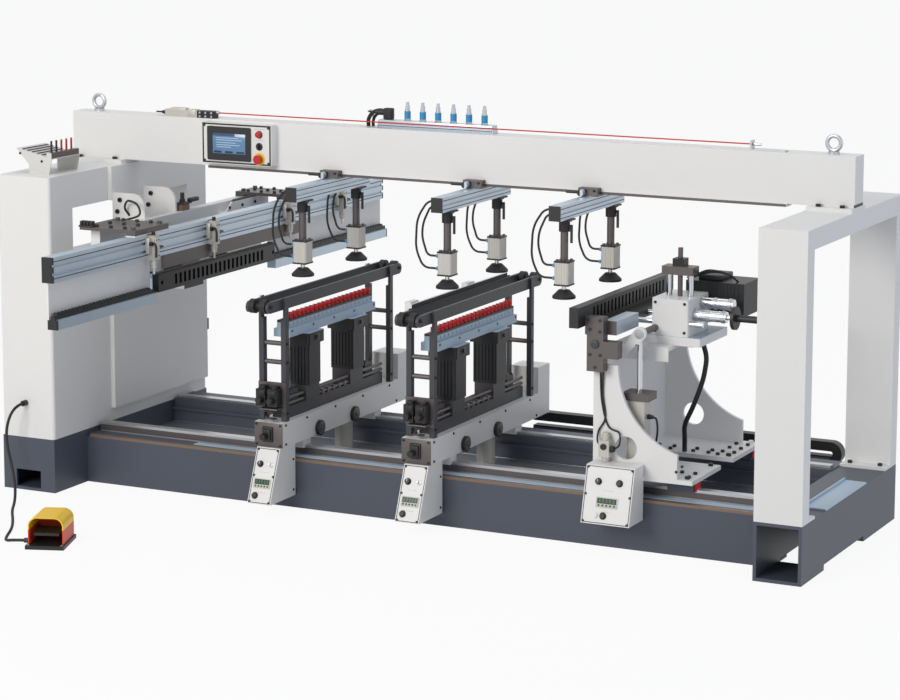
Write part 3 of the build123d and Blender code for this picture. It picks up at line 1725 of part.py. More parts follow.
def make_left_bridge():
    """Carrier of the left side unit with its arms, mount plates, gusset and lock."""
    inner_face = left_stand_width + cover_rise
    bottom = support_level - carrier_bottom_drop
    top = support_level + carrier_top_rise
    right = carrier_left + carrier_width
    rod_z = comb_bottom + slide_rod_rise
    nose_right = (carrier_left + right) / 2
    plate_top = mount_plate_level + mount_plate_thickness
    plate_right = fence_face_x - mount_plate_margin
    fence_left = fence_face_x - fence_width
    gusset_bottom = mount_plate_level - gusset_height
    gusset = [
        (gusset_front, gusset_bottom),
        (gusset_slope_end, mount_plate_level),
        (far_plate_rear, mount_plate_level),
        (far_plate_rear, gusset_bottom),
    ]
    lock_left = (carrier_left + right - lock_block_width) / 2
    lock_y = lock_block_front + lock_block_depth / 2
    with BuildPart() as left_bridge:
        block(carrier_left, right, carrier_front, carrier_rear, bottom, top)
        block(
            carrier_left + carrier_sheet, right - carrier_sheet,
            carrier_front + carrier_sheet, carrier_rear - carrier_sheet,
            bottom - carrier_sheet, top - carrier_sheet, Mode.SUBTRACT,
        )
        for nose_y in (nose_front_y, nose_rear_y):
            with BuildSketch(front_plane(nose_y + nose_plate_thickness)):
                with BuildLine():
                    Polyline(
                        (inner_face, nose_bottom), (nose_right, nose_bottom),
                        (nose_right, nose_top - nose_radius),
                    )
                    RadiusArc(
                        (nose_right, nose_top - nose_radius),
                        (nose_right - nose_radius, nose_top), -nose_radius,
                    )
                    Polyline(
                        (nose_right - nose_radius, nose_top), (inner_face, nose_top),
                        (inner_face, nose_bottom),
                    )
                make_face()
            extrude(amount=nose_plate_thickness)
        for arm_y in (bridge_arm_front_y, bridge_arm_rear_y):
            block(
                inner_face, carrier_left, arm_y, arm_y + bridge_arm_depth,
                bottom, bottom + bridge_arm_height,
            )
        for rod_y in (slide_rod_front, slide_rod_rear):
            bar_x(carrier_left, carrier_left + slide_boss_length, rod_y, rod_z, slide_boss_radius)
            bar_x(
                carrier_left - carrier_sheet, carrier_left + 2 * slide_boss_length, rod_y, rod_z,
                slide_rod_radius + running_gap, Mode.SUBTRACT,
            )
        for plate_left, y0, y1 in (
            (mount_plate_left, near_plate_front, near_plate_rear),
            (carrier_left, far_plate_front, far_plate_rear),
        ):
            block(plate_left, plate_right, y0, y1, mount_plate_level, plate_top)
            block(
                carrier_left, right, max(y0, carrier_front), min(y1, carrier_rear),
                top, mount_plate_level,
            )
            block(fence_left, plate_right, y0, y1, fence_top, mount_plate_level)
            bolt_heads(
                [
                    (x, y)
                    for x in (carrier_left + plate_bolt_inset, plate_right - plate_bolt_inset)
                    for y in (y0 + plate_bolt_inset, y1 - plate_bolt_inset)
                ],
                plate_top,
            )
        plate(side_plane(gusset_left), gusset, gusset_thickness)
        block(
            right, gusset_left, gusset_front, far_plate_rear,
            gusset_bottom, gusset_bottom + gusset_thickness,
        )
        block(
            lock_left, lock_left + lock_block_width, lock_block_front,
            lock_block_front + lock_block_depth, top, top + lock_block_height,
        )
        post(
            top + lock_block_height, top + lock_block_height + lock_rod_height,
            (carrier_left + right) / 2, lock_y, lock_rod_radius,
        )
    finish(left_bridge, "left_bridge")


def make_fence_beam():
    """Grooved fence profile with its flat bar and the four stop cylinders."""
    left = fence_face_x - fence_width
    groove_pitch = fence_height / (fence_groove_count + 1)
    core_left = left + fence_lip
    core_right = fence_face_x - fence_slot_depth - fence_lip
    body_bottom = fence_bottom - stop_body_drop
    body_top = body_bottom + stop_body_height
    neck_bottom = body_bottom - stop_neck_length
    rod_x = fence_face_x + stop_body_depth / 2
    bore_top = neck_bottom + stop_rod_inside + stop_travel + part_gap
    half = stop_body_width / 2
    with BuildPart() as fence_beam:
        block(left, fence_face_x, fence_front, fence_rear, fence_bottom, fence_top)
        for place in (1, 2):
            slot_z = fence_bottom + place * groove_pitch
            block(
                fence_face_x - fence_slot_depth, fence_face_x + fence_slot_depth,
                fence_front - fence_slot, fence_rear + fence_slot,
                slot_z - fence_slot / 2, slot_z + fence_slot / 2, Mode.SUBTRACT,
            )
        block(
            core_left, core_right, fence_front + fence_lip, fence_rear + fence_slot,
            fence_bottom + fence_lip, fence_top - fence_lip, Mode.SUBTRACT,
        )
        block(core_left, core_right, fence_rear - fence_lip, fence_rear, fence_bottom, fence_top)
        block(
            fence_face_x - flat_bar_thickness, fence_face_x, flat_bar_front, flat_bar_rear,
            fence_bottom - flat_bar_drop, fence_bottom,
        )
        for y in (stop_y_1, stop_y_2, stop_y_3, stop_y_4):
            block(
                fence_face_x, fence_face_x + stop_body_depth, y - half, y + half,
                body_bottom, body_top,
            )
            post(body_top, body_top + stop_screw_length, rod_x, y, stop_screw_radius)
            post(neck_bottom, body_bottom, rod_x, y, stop_neck_radius)
            block(
                fence_face_x, fence_face_x + stop_clamp_width, y + half,
                y + half + stop_clamp_width, body_bottom + half, body_top - half,
            )
            bar_x(
                fence_face_x + stop_clamp_width, fence_face_x + stop_body_depth,
                y + half + stop_clamp_width / 2, (body_bottom + body_top) / 2, stop_screw_radius,
            )
            bar_y(
                y + half, y + half + stop_lever_length, fence_face_x + stop_body_depth,
                (body_bottom + body_top) / 2, stop_lever_radius,
            )
            post(
                neck_bottom - part_gap, bore_top, rod_x, y,
                stop_rod_radius + running_gap, Mode.SUBTRACT,
            )
    finish(fence_beam, "fence_beam")


def make_stop_rods():
    """Four piston rods of the stop cylinders."""
    neck_bottom = fence_bottom - stop_body_drop - stop_neck_length
    rod_x = fence_face_x + stop_body_depth / 2
    with BuildPart() as stop_rods:
        for y in (stop_y_1, stop_y_2, stop_y_3, stop_y_4):
            post(
                neck_bottom - stop_rod_free, neck_bottom + stop_rod_inside, rod_x, y,
                stop_rod_radius,
            )
    finish(stop_rods, "stop_rods")


def make_roller_rails():
    """Front and rear rails with their small support rollers and the aprons that hold them."""
    rail_right = roll_rail_left + roll_rail_width
    rail_top = comb_bottom
    rail_bottom = rail_top - roll_rail_height
    strip_left = roll_rail_left + (roll_rail_width - roll_strip_width) / 2
    strip_right = strip_left + roll_strip_width
    wheel_z = support_level - roll_wheel_radius
    apron_left = roll_rail_left - apron_thickness
    with BuildPart() as roller_rails:
        for y0, y1 in (
            (roll_rail_front, comb_front - comb_gap), (comb_rear + comb_gap, roll_rail_rear),
        ):
            block(roll_rail_left, rail_right, y0, y1, rail_bottom, rail_top)
            block(strip_left, strip_right, y0, y1, rail_top, rail_top + roll_strip_height)
            for place in range(1, int((y1 - y0) / roll_tooth_pitch)):
                bar_x(
                    strip_left, strip_right, y0 + place * roll_tooth_pitch, wheel_z,
                    roll_wheel_radius,
                )
            block(apron_left, roll_rail_left, y0, y1, rail_bottom, fence_bottom)
    finish(roller_rails, "roller_rails")


def make_left_drill_unit():
    """Slotted spindle comb with its gearbox, motor and slide rods."""
    right = fence_face_x + comb_gap
    left = right - comb_plate_thickness
    plate_top = comb_top - comb_strip_height
    gear_left = left - gearbox_depth
    rod_z = comb_bottom + slide_rod_rise
    slot_z = (comb_bottom + plate_top) / 2
    gear_case_front = comb_front + gearbox_front_inset
    gear_case_rear = comb_rear - gearbox_front_inset
    motor_top = comb_bottom + gearbox_height
    motor_rear_side = side_motor_front + side_motor_depth
    with BuildPart() as left_drill_unit:
        block(left, right, comb_front, comb_rear, comb_bottom, plate_top)
        block(
            left + comb_strip_height, right - comb_strip_height, comb_front, comb_rear,
            plate_top, comb_top,
        )
        for place in range(spindle_count):
            slot_y = comb_first_slot + place * hole_pitch
            block(
                right - comb_slot_depth, right + comb_slot_depth, slot_y - comb_slot_width / 2,
                slot_y + comb_slot_width / 2, slot_z - comb_slot_height / 2,
                slot_z + comb_slot_height / 2, Mode.SUBTRACT,
            )
        for hole_y in (comb_front + comb_end_hole, comb_rear - comb_rear_hole):
            bar_x(
                right - comb_slot_depth, right + comb_slot_depth, hole_y, slot_z,
                comb_hole_radius, Mode.SUBTRACT,
            )
        block(gear_left, left, gear_case_front, gear_case_rear, comb_bottom, motor_top)
        block(
            gear_left - side_motor_length, gear_left, side_motor_front, motor_rear_side,
            motor_top - side_motor_height, motor_top,
        )
        for rod_y in (slide_rod_front, slide_rod_rear):
            bar_x(gear_left - slide_rod_length, gear_left, rod_y, rod_z, slide_rod_radius)
    finish(left_drill_unit, "left_drill_unit")


def make_right_frame():
    """Frame of the right unit: plates on the rails, web, shelf, posts and lift cylinder."""
    front_base_rear = right_plate_front_y + right_front_base_length
    rear_base_rear = right_rear_base_front + right_rear_base_length
    web_right = right_plate_left + right_web_thickness
    front_plate_rear = right_plate_front_y + right_plate_thickness
    shelf_top = shelf_bottom + shelf_thickness
    head_block_top = head_block_bottom + head_block_height
    nut_top = head_block_top + nut_height
    middle_x = (post_left_x + post_right_x) / 2
    cylinder_top = right_base_top + lift_cylinder_height
    clamp_top = cylinder_top + lift_clamp_height
    lift_half = lift_cylinder_width / 2
    filter_top = filter_bottom + filter_height
    filter_y = right_plate_front_y - filter_depth / 2
    filter_middle = filter_x + filter_width / 2
    base_spans = (
        (right_plate_front_y, front_base_rear, front_beam_front + front_rail_offset),
        (right_rear_base_front, rear_base_rear, rear_beam_front + rear_rail_offset),
    )
    carriage_lefts = (
        right_plate_left + right_carriage_inset,
        right_base_right - right_carriage_inset - 2 * carriage_half_width,
    )
    with BuildPart() as right_frame:
        for y0, y1, rail_y in base_spans:
            block(right_plate_left, right_base_right, y0, y1, right_base_bottom, right_base_top)
            for x0 in carriage_lefts:
                block(
                    x0, x0 + 2 * carriage_half_width, rail_y - carriage_margin,
                    rail_y + rail_width + carriage_margin,
                    rail_level - carriage_skirt, right_base_bottom,
                )
            block(
                right_plate_left, right_base_right, rail_y - part_gap,
                rail_y + rail_width + part_gap, rail_level - 2 * carriage_skirt,
                rail_level + part_gap, Mode.SUBTRACT,
            )
            bolt_heads(
                [
                    (x, y)
                    for x in (right_bolt_column,)
                    for y in (y0 + right_bolt_inset, y1 - right_bolt_inset)
                ],
                right_base_top,
            )
        for plate_y in (right_plate_front_y, right_plate_rear_y):
            with BuildSketch(front_plane(plate_y + right_plate_thickness)):
                with BuildLine():
                    Polyline(
                        (right_plate_toe, right_plate_toe_top), (right_plate_toe, right_base_top),
                        (right_plate_left, right_base_top), (right_plate_left, right_plate_top),
                        (right_plate_neck, right_plate_top),
                    )
                    ThreePointArc(
                        (right_plate_neck, right_plate_top),
                        (right_plate_curve_x, right_plate_curve_z),
                        (right_plate_toe, right_plate_toe_top),
                    )
                make_face()
                with Locations((right_plate_hole_x, right_plate_hole_z)):
                    Circle(right_plate_hole_radius, mode=Mode.SUBTRACT)
            extrude(amount=right_plate_thickness)
        block(
            right_plate_left, web_right, front_plate_rear, right_plate_rear_y,
            right_base_top, shelf_bottom,
        )
        block(right_plate_left, shelf_right, shelf_front, shelf_rear, shelf_bottom, shelf_top)
        block(
            right_plate_left, shelf_right, shelf_front, shelf_front + sheet,
            shelf_top - shelf_flange, shelf_bottom,
        )
        block(
            shelf_right, shelf_right + post_shelf_length, post_y - post_shelf_half_depth,
            post_y + post_shelf_half_depth, shelf_bottom, shelf_top,
        )
        for post_x in (post_left_x, post_right_x):
            post(shelf_top, head_block_bottom, post_x, post_y, post_radius)
        block(
            middle_x - head_block_half_width, middle_x + head_block_half_width,
            post_y - head_block_half_depth, post_y + head_block_half_depth,
            head_block_bottom, head_block_top,
        )
        block(
            middle_x - nut_half_width, middle_x + nut_half_width, post_y - nut_half_width,
            post_y + nut_half_width, head_block_top, nut_top,
        )
        post(
            head_block_bottom - part_gap, nut_top + part_gap, middle_x, post_y,
            screw_radius + running_gap, Mode.SUBTRACT,
        )
        rounded_block(
            lift_x - lift_half, lift_x + lift_half, lift_y - lift_half, lift_y + lift_half,
            right_base_top, cylinder_top, lift_cylinder_corner,
        )
        block(
            lift_x - lift_clamp_half_width, lift_x + lift_clamp_half_width,
            lift_y - lift_clamp_half_depth, lift_y + lift_clamp_half_depth,
            cylinder_top, clamp_top,
        )
        post(
            clamp_top - lift_rod_inside - part_gap, clamp_top + part_gap, lift_x, lift_y,
            lift_rod_radius + running_gap, Mode.SUBTRACT,
        )
        block(
            filter_x, filter_x + filter_width, right_plate_front_y - filter_depth,
            right_plate_front_y, filter_bottom, filter_top,
        )
        post(
            filter_bottom - filter_cap_height, filter_bottom, filter_middle, filter_y,
            filter_bowl_radius,
        )
        post(
            filter_top, filter_top + filter_cap_height, filter_middle, filter_y,
            filter_bowl_radius,
        )
    finish(right_frame, "right_frame")


def make_right_control_box():
    """Slanted control box in front of the right unit, and its knob."""
    plane = slanted_plane(
        right_box_left, right_box_low_y, right_box_bottom, right_box_high_y, right_box_top
    )
    outline = [
        (right_box_low_y, right_box_bottom),
        (control_box_rear, right_box_bottom),
        (control_box_rear, right_box_top),
        (right_box_high_y, right_box_top),
    ]
    with BuildPart() as control_box:
        panel_box(
            plane, outline, right_box_left, right_box_width, right_box_bezel_width,
            right_knob_side,
        )
        block(
            right_box_left, right_box_left + right_box_width, control_box_rear,
            right_plate_front_y, right_base_bottom, right_base_top,
        )
    finish(control_box, "right_control_box")
    panel_knob(plane, right_box_width, right_knob_side, "right_knob")


def make_right_head():
    """Carrier, housing, motor, lever, cylinders and hand shaft of the right unit."""
    shelf_top = shelf_bottom + shelf_thickness
    carrier_left_side = housing_left - carrier_plate_margin
    lever_rear = lift_y + lever_thickness / 2
    lever_front = lift_y - lever_thickness / 2
    clamp_top = right_base_top + lift_cylinder_height + lift_clamp_height
    middle_x = (post_left_x + post_right_x) / 2
    feed_rod_z = gear_bar_bottom + feed_rod_rise
    disc_right = hand_disc_x + hand_disc_thickness
    with BuildPart() as right_head:
        block(
            carrier_left_side, carrier_plate_right, housing_front - carrier_plate_margin,
            shelf_rear, shelf_top + part_gap, housing_bottom,
        )
        rounded_block(
            housing_left, housing_right, housing_front, housing_rear,
            housing_bottom, housing_top, housing_corner,
        )
        for post_x in (post_left_x, post_right_x):
            post(
                shelf_top, housing_top + part_gap, post_x, post_y,
                post_radius + running_gap, Mode.SUBTRACT,
            )
        for rod_y in (feed_rod_front_y, feed_rod_rear_y):
            bar_x(
                housing_left - part_gap, housing_right + part_gap, rod_y, feed_rod_z,
                feed_rod_radius + running_gap, Mode.SUBTRACT,
            )
        with BuildSketch(front_plane(lever_rear)):
            with Locations((lift_x, lever_eye_z)):
                Circle(lever_eye_radius)
            with Locations((lever_toe_x, lever_toe_z)):
                Circle(lever_toe_radius)
            make_hull()
        extrude(amount=lever_rear - lever_front)
        bar_y(lever_rear, housing_front, lift_x, lever_eye_z, lever_shaft_radius)
        post(clamp_top - lift_rod_inside, lever_eye_z, lift_x, lift_y, lift_rod_radius)
        post(housing_top, screw_top, middle_x, post_y, screw_radius)
        for cylinder_y, cylinder_z in (
            (feed_cylinder_y, feed_cylinder_z), (upper_cylinder_y, upper_cylinder_z),
        ):
            bar_x(housing_right, feed_cylinder_right, cylinder_y, cylinder_z, feed_cylinder_radius)
        bar_x(
            feed_cylinder_right, hand_disc_x, feed_cylinder_y, feed_cylinder_z, hand_shaft_radius
        )
        bar_x(hand_disc_x, disc_right, feed_cylinder_y, feed_cylinder_z, hand_disc_radius)
        bar_x(disc_right, handle_right, feed_cylinder_y, feed_cylinder_z, handle_radius)
        block(
            right_motor_left, right_motor_right, housing_rear, right_motor_rear,
            right_motor_bottom, right_motor_top,
        )
    finish(right_head, "right_head")


def make_right_drill_unit():
    """Slotted spindle comb of the right unit with its gear bar, bracket and feed rods."""
    comb_side_rear = right_comb_front + right_comb_length
    comb_side_top = right_comb_bottom + right_comb_height
    slot_z = right_comb_bottom + right_comb_height / 2
    bracket_rear = bracket_front + bracket_depth
    feed_rod_z = gear_bar_bottom + feed_rod_rise
    rod_right = housing_right + feed_rod_end
    with BuildPart() as right_drill_unit:
        block(
            right_comb_left, right_comb_right, right_comb_front, comb_side_rear,
            right_comb_bottom, comb_side_top,
        )
        for place in range(spindle_count):
            slot_y = right_first_slot + place * hole_pitch
            block(
                right_comb_right - right_slot_depth, right_comb_right + right_slot_depth,
                slot_y - right_slot_width / 2, slot_y + right_slot_width / 2,
                slot_z - right_slot_height / 2, slot_z + right_slot_height / 2, Mode.SUBTRACT,
            )
        block(
            gear_bar_left, gear_bar_right, gear_bar_front, gear_bar_front + gear_bar_length,
            gear_bar_bottom, right_comb_bottom,
        )
        block(
            right_comb_right, bracket_right, bracket_front, bracket_rear,
            bracket_step, bracket_top,
        )
        block(
            bracket_leg_left, bracket_right, bracket_front, bracket_rear,
            bracket_foot, bracket_step,
        )
        block(
            bracket_right, bracket_right + pivot_block_width, bracket_front, bracket_rear,
            pivot_block_bottom, pivot_block_top,
        )
        block(
            gear_bar_right, gear_bar_right + air_profile_width, bracket_rear, air_profile_rear,
            air_profile_bottom, air_profile_bottom + air_profile_height,
        )
        for rod_y in (feed_rod_front_y, feed_rod_rear_y):
            bar_x(gear_bar_right, rod_right, rod_y, feed_rod_z, feed_rod_radius)
    finish(right_drill_unit, "right_drill_unit")


def make_right_hoses():
    """Clip and hose bundle that hangs from the shelf to the rear base plate."""
    clip_top = shelf_bottom + shelf_thickness
    clip_front = bundle_clip_y - bundle_clip_depth / 2
    points = [
        (bundle_x, bundle_clip_y, shelf_bottom),
        (bundle_x + bundle_bulge, bundle_clip_y, bundle_upper_z),
        (bundle_middle_x, bundle_clip_y, bundle_middle_z),
        (bundle_lower_x, bundle_clip_y, bundle_lower_z),
        (bundle_turn_x, bundle_turn_y, bundle_turn_z),
        (bundle_end_x, bundle_end_y, bundle_end_z),
        (bundle_end_x, bundle_end_y, right_base_top),
    ]
    with BuildPart() as right_hoses:
        block(
            shelf_right, shelf_right + bundle_clip_reach, clip_front,
            clip_front + bundle_clip_depth, shelf_bottom, clip_top,
        )
        tube("hose bundle", points, bundle_radius)
    finish(right_hoses, "right_hoses")


def pedal_place(u, v, z):
    """Place given from the middle of the pedal's base, seen from the machine's corner."""
    x = pedal_x + u * pedal_cosine - v * pedal_sine
    y = pedal_y + u * pedal_sine + v * pedal_cosine
    return (x, y, z)


def pedal_front_plane(v):
    """Plane across the pedal that looks to its front, with axes across and up."""
    return Plane(
        origin=at(*pedal_place(0, v, 0)), x_dir=(pedal_cosine, pedal_sine, 0),
        z_dir=(pedal_sine, -pedal_cosine, 0),
    )


def pedal_side_plane(u):
    """Plane along the pedal that looks to its right, with axes to its rear and up."""
    return Plane(
        origin=at(*pedal_place(u, 0, 0)), x_dir=(-pedal_sine, pedal_cosine, 0),
        z_dir=(pedal_cosine, pedal_sine, 0),
    )


def pedal_block(u0, u1, v0, v1, z0, z1):
    """Block square to the pedal's own axes."""
    plate(pedal_front_plane(v1), [(u0, z0), (u1, z0), (u1, z1), (u0, z1)], v1 - v0)


def pedal_bar(u0, u1, v, z, radius, mode=Mode.ADD):
    """Round bar across the pedal."""
    with BuildSketch(pedal_side_plane(u0)) as outline:
        with Locations((v, z)):
            Circle(radius)
    extrude(outline.sketch, amount=u1 - u0, mode=mode)


def make_pedal_base():
    """Pedal base plate with its two hinge ears and the cord's strain relief."""
    half = treadle_width / 2
    axis_z = pedal_base_height + treadle_rise
    ear_radius = treadle_hinge_radius + hinge_ear / 2
    relief_left = -pedal_width / 2 - relief_length
    with BuildPart() as pedal_base:
        pedal_block(
            -pedal_width / 2, pedal_width / 2, -pedal_length / 2, pedal_length / 2,
            0, pedal_base_height,
        )
        for side in (-1, 1):
            low, high = sorted((side * (half + part_gap), side * (half + part_gap + hinge_ear)))
            pedal_block(
                low, high, treadle_rear_inset - ear_radius, treadle_rear_inset + ear_radius,
                pedal_base_height, axis_z,
            )
            pedal_bar(low, high, treadle_rear_inset, axis_z, ear_radius)
            pedal_bar(
                low - part_gap, high + part_gap, treadle_rear_inset, axis_z,
                treadle_hinge_radius + running_gap, Mode.SUBTRACT,
            )
        pedal_bar(
            relief_left, -hood_width / 2 - part_gap, -relief_along, relief_centre, relief_radius
        )
    finish(pedal_base, "pedal_base")


def make_pedal_hood():
    """Arched pedal hood, open at its front and closed at its rear."""
    hood_rear = pedal_length / 2 - hood_rear_inset
    crown = hood_width / 2 - hood_corner
    with BuildPart() as pedal_hood:
        for margin, v_rear, length, mode in (
            (0, hood_rear, hood_length, Mode.ADD),
            (hood_wall, hood_rear - hood_wall, hood_length, Mode.SUBTRACT),
        ):
            side = hood_width / 2 - margin
            top = pedal_base_height + hood_height - margin
            corner = hood_corner - margin
            with BuildSketch(pedal_front_plane(v_rear)):
                with BuildLine():
                    Polyline(
                        (-side, top - corner), (-side, pedal_base_height),
                        (side, pedal_base_height), (side, top - corner),
                    )
                    RadiusArc((side, top - corner), (crown, top), -corner)
                    Line((crown, top), (-crown, top))
                    RadiusArc((-crown, top), (-side, top - corner), -corner)
                make_face()
            extrude(amount=length, mode=mode)
    finish(pedal_hood, "pedal_hood")


def make_pedal_treadle():
    """Treadle plate with the hinge bar that turns in the base's ears."""
    half = treadle_width / 2
    axis_z = pedal_base_height + treadle_rise
    bar_half = half + part_gap + hinge_ear
    with BuildPart() as pedal_treadle:
        pedal_block(
            -half, half, treadle_rear_inset - treadle_length, treadle_rear_inset,
            axis_z - treadle_thickness / 2, axis_z + treadle_thickness / 2,
        )
        pedal_bar(-bar_half, bar_half, treadle_rear_inset, axis_z, treadle_hinge_radius)
    finish(pedal_treadle, "pedal_treadle")


def make_pedal_cord():
    """Cord from the stand's gland down to the floor and along it to the pedal."""
    relief_left = -pedal_width / 2 - relief_length
    gland_front = -gland_length
    points = [
        (gland_x, gland_front, gland_z),
        (gland_x, gland_front - cord_lead, gland_z),
        (cord_loop_x_1, cord_loop_y_1, cord_loop_z_1),
        (cord_loop_x_2, cord_loop_y_2, cord_loop_z_2),
        (cord_loop_x_3, cord_loop_y_3, cord_loop_z_3),
        (cord_drop_x_1, cord_drop_y_1, cord_drop_z_1),
        (cord_drop_x_2, cord_drop_y_2, cord_drop_z_2),
        (cord_floor_x_1, cord_floor_y_1, cord_rest_level),
        (cord_floor_x_2, cord_floor_y_2, cord_rest_level),
        (cord_floor_x_3, cord_floor_y_3, cord_rest_level),
        (cord_floor_x_4, cord_floor_y_4, cord_rest_level),
        (cord_floor_x_5, cord_floor_y_5, cord_rest_level),
        (cord_floor_x_6, cord_floor_y_6, cord_rest_level),
        pedal_place(relief_left - cord_lead, -relief_along, relief_centre),
        pedal_place(relief_left, -relief_along, relief_centre),
    ]
    with BuildPart() as pedal_cord:
        volume = tube("pedal cord", points, cord_radius)
    print("pedal cord volume", round(pedal_cord.part.volume), "section by length", round(volume))
    finish(pedal_cord, "pedal_cord")


make_left_base()
make_left_stand()
make_right_base()
make_right_stand()
make_front_bed_beam()
make_rear_bed_beam()
make_linear_rails()
make_cross_beam()
make_beam_fasteners()
make_operator_panel()
make_estop_button()
make_selector_knob()
make_rope_switch()
make_pull_wire()
make_air_manifold()
make_tool_rack()
make_energy_chain()
make_head(1, head_1_x, with_fence=False)
make_head(2, head_2_x, with_fence=True)
make_presser(1, presser_1_x)
make_presser(2, presser_2_x)
make_presser(3, presser_3_x)
make_left_bridge()
make_fence_beam()
make_stop_rods()
make_roller_rails()
make_left_drill_unit()
make_right_frame()
make_right_control_box()
make_right_head()
make_right_drill_unit()
make_right_hoses()
make_pedal_base()
make_pedal_hood()
make_pedal_treadle()
make_pedal_cord()
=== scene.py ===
"""Looks of the line boring machine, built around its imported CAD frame."""

import logging
import math
from dataclasses import dataclass, field
from enum import Enum

import bmesh
import bpy
import numpy as np
from mathutils import Matrix, Vector

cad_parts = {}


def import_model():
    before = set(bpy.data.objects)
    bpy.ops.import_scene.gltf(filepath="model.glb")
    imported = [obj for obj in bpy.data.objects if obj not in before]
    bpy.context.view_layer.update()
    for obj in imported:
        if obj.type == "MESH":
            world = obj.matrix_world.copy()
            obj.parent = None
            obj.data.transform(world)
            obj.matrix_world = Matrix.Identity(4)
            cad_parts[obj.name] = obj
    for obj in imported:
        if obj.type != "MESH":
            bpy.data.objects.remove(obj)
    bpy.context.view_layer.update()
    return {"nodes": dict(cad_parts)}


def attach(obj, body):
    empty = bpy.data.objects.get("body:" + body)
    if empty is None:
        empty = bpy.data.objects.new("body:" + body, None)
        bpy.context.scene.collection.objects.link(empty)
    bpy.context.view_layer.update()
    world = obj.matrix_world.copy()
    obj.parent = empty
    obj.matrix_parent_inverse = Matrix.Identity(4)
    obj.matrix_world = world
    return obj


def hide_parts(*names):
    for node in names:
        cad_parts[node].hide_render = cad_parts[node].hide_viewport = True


LOG = logging.getLogger("line_boring_machine")
MILLIMETRE = 0.001
MIDDLE_X = 1617.5
MIDDLE_Y = 617.743
SHEET = 0.4
FAR = 9000.0
Point = tuple[float, float, float]
Shell = tuple[np.ndarray, list[tuple[int, ...]]]


class Grain(Enum):
    """Kinds of surface relief: noise scale per metre, bump depth in metres, shade range."""

    PAINT = (700.0, 0.00006, 0.035)
    BRUSHED = (420.0, 0.00010, 0.10)
    CAST = (260.0, 0.00035, 0.14)
    MOULDED = (900.0, 0.00010, 0.08)
    SMOOTH = (60.0, 0.00001, 0.02)


@dataclass(frozen=True)
class Finish:
    """One surface finish, its colour given as it looks on a screen."""

    name: str
    color: Point
    roughness: float
    metallic: float = 0.0
    grain: Grain = Grain.PAINT

    def linear(self) -> tuple[float, float, float, float]:
        """Return the colour in linear light with full alpha."""
        values = [
            c / 12.92 if c <= 0.04045 else ((c + 0.055) / 1.055) ** 2.4
            for c in (part / 255.0 for part in self.color)
        ]
        return (values[0], values[1], values[2], 1.0)


@dataclass(frozen=True)
class Zone:
    """Box in the machine's millimetres in which a node shows another finish."""

    finish: Finish
    x: tuple[float, float] = (-FAR, FAR)
    y: tuple[float, float] = (-FAR, FAR)
    z: tuple[float, float] = (-FAR, FAR)

    def corners(self) -> tuple[Point, Point]:
        """Return the low and the high corner in the frame's metres."""
        low = place(self.x[0], self.y[0], self.z[0])
        high = place(self.x[1], self.y[1], self.z[1])
        return low, high


WHITE = Finish("white_paint", (232, 231, 229), 0.42)
DARK = Finish("dark_paint", (72, 77, 90), 0.48)
CHARCOAL = Finish("charcoal_paint", (56, 57, 62), 0.5)
BLUE_GREY = Finish("blue_grey_paint", (176, 197, 214), 0.4)
BROWN_STEEL = Finish("brown_steel", (98, 92, 91), 0.42, 0.55, Grain.BRUSHED)
BRIGHT = Finish("bright_steel", (186, 188, 192), 0.3, 0.8, Grain.BRUSHED)
CHROME = Finish("chrome", (205, 206, 210), 0.14, 1.0, Grain.SMOOTH)
ALUMINIUM = Finish("aluminium", (190, 203, 214), 0.38, 0.55, Grain.BRUSHED)
SILVER = Finish("silver_paint", (196, 193, 186), 0.4, 0.35, Grain.BRUSHED)
BLACK = Finish("black_plastic", (21, 22, 24), 0.46, 0.0, Grain.MOULDED)
IRON = Finish("black_iron", (29, 30, 33), 0.46, 0.3, Grain.CAST)
RACK = Finish("rack_silver", (214, 213, 208), 0.4, 0.2)
CHUCK_RED = Finish("chuck_red", (232, 38, 42), 0.34)
RED = Finish("red_paint", (196, 30, 34), 0.36)
ORANGE = Finish("orange_plastic", (214, 72, 40), 0.45, 0.0, Grain.MOULDED)
YELLOW = Finish("yellow_plastic", (246, 200, 36), 0.4, 0.0, Grain.MOULDED)
BLUE = Finish("blue_plastic", (40, 140, 190), 0.35, 0.0, Grain.SMOOTH)
RUBBER = Finish("black_rubber", (20, 20, 22), 0.62, 0.0, Grain.MOULDED)
BROWN = Finish("brown_paint", (124, 104, 88), 0.45, 0.2, Grain.CAST)
BRASS = Finish("brass", (196, 160, 92), 0.3, 0.9, Grain.BRUSHED)
GLASS_DARK = Finish("display_glass", (30, 44, 50), 0.12, 0.0, Grain.SMOOTH)
DISPLAY = Finish("display_blue", (98, 138, 176), 0.2, 0.0, Grain.SMOOTH)
DISPLAY_PALE = Finish("display_pale", (196, 214, 226), 0.2, 0.0, Grain.SMOOTH)
LCD = Finish("display_green", (38, 58, 50), 0.18, 0.0, Grain.SMOOTH)
LCD_LIT = Finish("display_digits", (120, 176, 132), 0.3, 0.0, Grain.SMOOTH)
BEIGE = Finish("beige_plastic", (196, 200, 184), 0.45, 0.0, Grain.MOULDED)
HOLE = Finish("hole_shade", (22, 22, 24), 0.7, 0.0, Grain.SMOOTH)


def place(x: float, y: float, z: float) -> Point:
    """Turn the machine's millimetres into the frame's metres.

    Args:
        x: distance from the left stand's outer face.
        y: distance from the left stand's front face.
        z: height above the floor.

    Returns:
        The same place in metres from the part's origin.
    """
    return ((x - MIDDLE_X) * MILLIMETRE, (y - MIDDLE_Y) * MILLIMETRE, z * MILLIMETRE)


